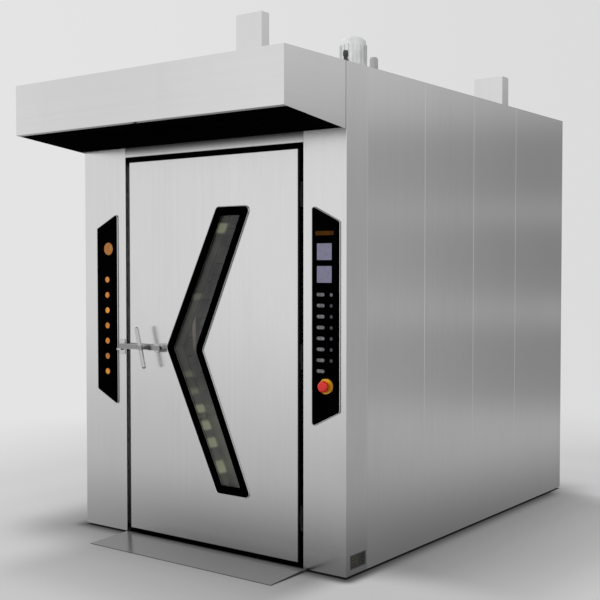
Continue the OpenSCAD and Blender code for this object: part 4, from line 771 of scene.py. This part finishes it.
rampSteel = brushedSteel("rampSteel", ramp["tone"], "level", 0.2, metallic=ramp["metallic"], paintedShade=rampShade)
dress(rampSteel, "entry_ramp")
print("ramp dressed")


def makePiece(name, points, faces, material, body):
    mesh = bpy.data.meshes.new(name)
    mesh.from_pydata(points, [], faces)
    mesh.polygons.foreach_set("use_smooth", [True] * len(faces))
    mesh.materials.append(material)
    piece = bpy.data.objects.new(name, mesh)
    scene.collection.objects.link(piece)
    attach(piece, body)


def joinRings(faces, first, rings, count):  # quads between rings of count points each
    for i in range(rings - 1):
        for k in range(count):
            a, b = first + i * count, first + (i + 1) * count
            faces.append((a + k, a + (k + 1) % count, b + (k + 1) % count, b + k))


def addTurned(points, faces, profile, centre, segments, toward):
    # a turned shape: profile is (radius, height) pairs from the rim to the middle
    first = len(points)
    up = Vector(toward)
    side = up.orthogonal().normalized()
    other = up.cross(side)
    for radius, height in profile:
        for k in range(segments):
            turn = 2 * math.pi * k / segments
            outward = side * math.cos(turn) + other * math.sin(turn)
            points.append(Vector(centre) + outward * radius + up * height)
    joinRings(faces, first, len(profile), segments)
    faces.append(tuple(first + (len(profile) - 1) * segments + k for k in range(segments)))


def scaled(profile, radius, height):
    return [(r * radius, h * height) for r, h in profile]


bead = {
    "radius": 0.0022,
    "sides": 8,
    "sunk": 0.4,                # how far its middle lies behind the face, in radii
    "flat": 0.0004              # how far a point of the front face may lie from it
}


def frontLoops(name):  # the outlines of a node's front faces, each a closed run of points
    mesh = nodes[name].data
    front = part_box(name)[0][1]
    after = {}
    for polygon in mesh.polygons:
        keys = [tuple(round(c, 5) for c in mesh.vertices[i].co) for i in polygon.vertices]
        if all(abs(key[1] - front) < bead["flat"] for key in keys):
            for first, second in zip(keys, keys[1:] + keys[:1]):
                if first in after.get(second, ()):
                    after[second].remove(first)
                else:
                    after.setdefault(first, []).append(second)
    loops = []
    while any(after.values()):
        start = next(point for point in after if after[point])
        loop = [start]
        point = after[start].pop()
        while point != start:
            loop.append(point)
            point = after[point].pop()
        loops.append(loop)
    return loops


def makeBead(name, loops, body):  # a thin round bead of polished steel along each outline
    points, faces, sides, radius = [], [], bead["sides"], bead["radius"]
    for loop in loops:
        first, count = len(points), len(loop)
        for i, point in enumerate(loop):
            here, back, on = Vector(point), Vector(loop[i - 1]), Vector(loop[(i + 1) % count])
            out = (on - back).cross(Vector((0, 1, 0))).normalized()
            for k in range(sides):
                turn = 2 * math.pi * k / sides
                behind = Vector((0, radius * (bead["sunk"] - math.sin(turn)), 0))
                points.append(here + out * radius * math.cos(turn) + behind)
        joinRings(faces, first, count, sides)
        last = first + (count - 1) * sides
        for k in range(sides):
            faces.append((last + k, last + (k + 1) % sides, first + (k + 1) % sides, first + k))
    makePiece(name, points, faces, polished, body)


roundLamp = {
    "x": -0.693,
    "z": 1.553,
    "radius": 0.034,
    "height": 0.0022,
    "segments": 40,
    "profile": [(1.0, 0.0), (1.0, 0.3), (0.93, 0.45), (0.86, 0.45), (0.8, 0.4), (0.6, 0.75), (0.3, 0.95),
                (0.08, 1.0)],
    "amber": [(160, 84, 14), (214, 140, 34)],
    "level": 0.62
}


def makeRoundLamp():  # a plain amber lamp over the row of lights
    points, faces = [], []
    centre = (roundLamp["x"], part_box("glass_panels")[0][1], roundLamp["z"])
    profile = scaled(roundLamp["profile"], roundLamp["radius"], roundLamp["height"])
    addTurned(points, faces, profile, centre, roundLamp["segments"], (0, -1, 0))
    amber = glowing("markAmber", roundLamp["amber"], roundLamp["level"])
    makePiece("markLamp", points, faces, amber, "casing")


lightBar = {
    "x": 0.765,
    "z": 1.613,
    "halfWidth": 0.052,
    "halfHeight": 0.010,
    "corner": 0.005,            # radius, turned in this many steps
    "steps": 5,
    "height": 0.0012,
    "rings": [(1.0, 0.0), (1.0, 0.7), (0.97, 1.0)],     # share of the outline and of the height
    "amber": [(62, 38, 12), (84, 52, 20)],
    "level": 0.8
}


def makeLightBar():  # a dim amber bar over the displays
    radius = lightBar["corner"]
    outline = []
    for toX, toZ, start in ((1, 1, 0), (-1, 1, 90), (-1, -1, 180), (1, -1, 270)):
        cornerX = toX * (lightBar["halfWidth"] - radius)
        cornerZ = toZ * (lightBar["halfHeight"] - radius)
        for k in range(lightBar["steps"] + 1):
            turn = math.radians(start + 90 * k / lightBar["steps"])
            outline.append((cornerX + radius * math.cos(turn), cornerZ + radius * math.sin(turn)))
    middle = Vector((lightBar["x"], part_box("glass_panels")[0][1], lightBar["z"]))
    points, faces, count = [], [], len(outline)
    for share, height in lightBar["rings"]:
        points += [middle + Vector((x * share, -height * lightBar["height"], z * share)) for x, z in outline]
    rings = len(lightBar["rings"])
    joinRings(faces, 0, rings, count)
    faces.append(tuple(range((rings - 1) * count, rings * count)))
    amber = glowing("dimAmber", lightBar["amber"], lightBar["level"], 500.0, base=0.0, shine=0.0)
    makePiece("markBar", points, faces, amber, "casing")


roofScrews = {
    "radius": 0.006,
    "height": 0.003,
    "segments": 12,
    "columns": 5,
    "pitch": 0.42,
    "fromSeam": 0.02,
    "profile": [(1.0, 0.0), (1.0, 0.35), (0.8, 0.8), (0.5, 1.0), (0.42, 0.95), (0.38, 0.45), (0.1, 0.4)]
}


def makeRoofScrews():  # a row before and behind each seam of the side panels
    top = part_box("roof_panels")[1][2]
    points, faces = [], []
    profile = scaled(roofScrews["profile"], roofScrews["radius"], roofScrews["height"])
    for i in range(roofScrews["columns"]):
        x = (i - (roofScrews["columns"] - 1) / 2) * roofScrews["pitch"]
        for seam in seamPlaces():
            for y in (seam - roofScrews["fromSeam"], seam + roofScrews["fromSeam"]):
                addTurned(points, faces, profile, (x, y, top), roofScrews["segments"], (0, 0, 1))
    makePiece("roofScrews", points, faces, polished, "casing")


cornerStud = {
    "fromSide": 0.017,          # its middle, in from the casing's right side and back from its front
    "fromFront": 0.017,
    "radius": 0.010,
    "height": 0.050,
    "segments": 24,
    "profile": [(1.5, 0.0), (1.5, 0.12), (1.0, 0.16), (1.0, 0.45), (1.25, 0.5), (1.25, 0.85), (1.0, 1.0),
                (0.3, 1.0)]
}


def makeCornerStud():  # the small dark fitting on the roof, at the top of the seam behind the hood
    low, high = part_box("roof_panels")
    centre = (high[0] - cornerStud["fromSide"], low[1] + cornerStud["fromFront"], high[2])
    points, faces = [], []
    profile = scaled(cornerStud["profile"], cornerStud["radius"], cornerStud["height"])
    addTurned(points, faces, profile, centre, cornerStud["segments"], (0, 0, 1))
    dark = paint("studBlack", tones(56, 56, 56), 0.5)
    makePiece("cornerStud", points, faces, dark, "casing")


makeBead("panelBeads", frontLoops("glass_panels"), "casing")
outerLoop = max(frontLoops("window_frame"), key=lambda loop: max(point[0] for point in loop))
makeBead("windowBead", [outerLoop], "door")
makeRoundLamp()
makeLightBar()
makeRoofScrews()
makeCornerStud()
print("beads, lamps and fittings made")


softened = {
    "nodes": ["latch_lever", "latch_keeper", "estop_button", "estop_collar", "cable_gland", "drive_motor"],
    "width": 0.0006,
    "segments": 2,
    "angle": 40,                # degrees between faces from which an edge is rounded
    "weld": 0.00002
}


def softenEdges():  # joins the split vertices, then rounds the edges
    for name in softened["nodes"]:
        weld = nodes[name].modifiers.new("weld", "WELD")
        weld.merge_threshold = softened["weld"]
        bevel = nodes[name].modifiers.new("bevel", "BEVEL")
        bevel.width = softened["width"]
        bevel.segments = softened["segments"]
        bevel.limit_method = "ANGLE"
        bevel.angle_limit = math.radians(softened["angle"])
        bevel.harden_normals = True


softenEdges()
print("edges softened")


scene.view_settings.view_transform = "Standard"
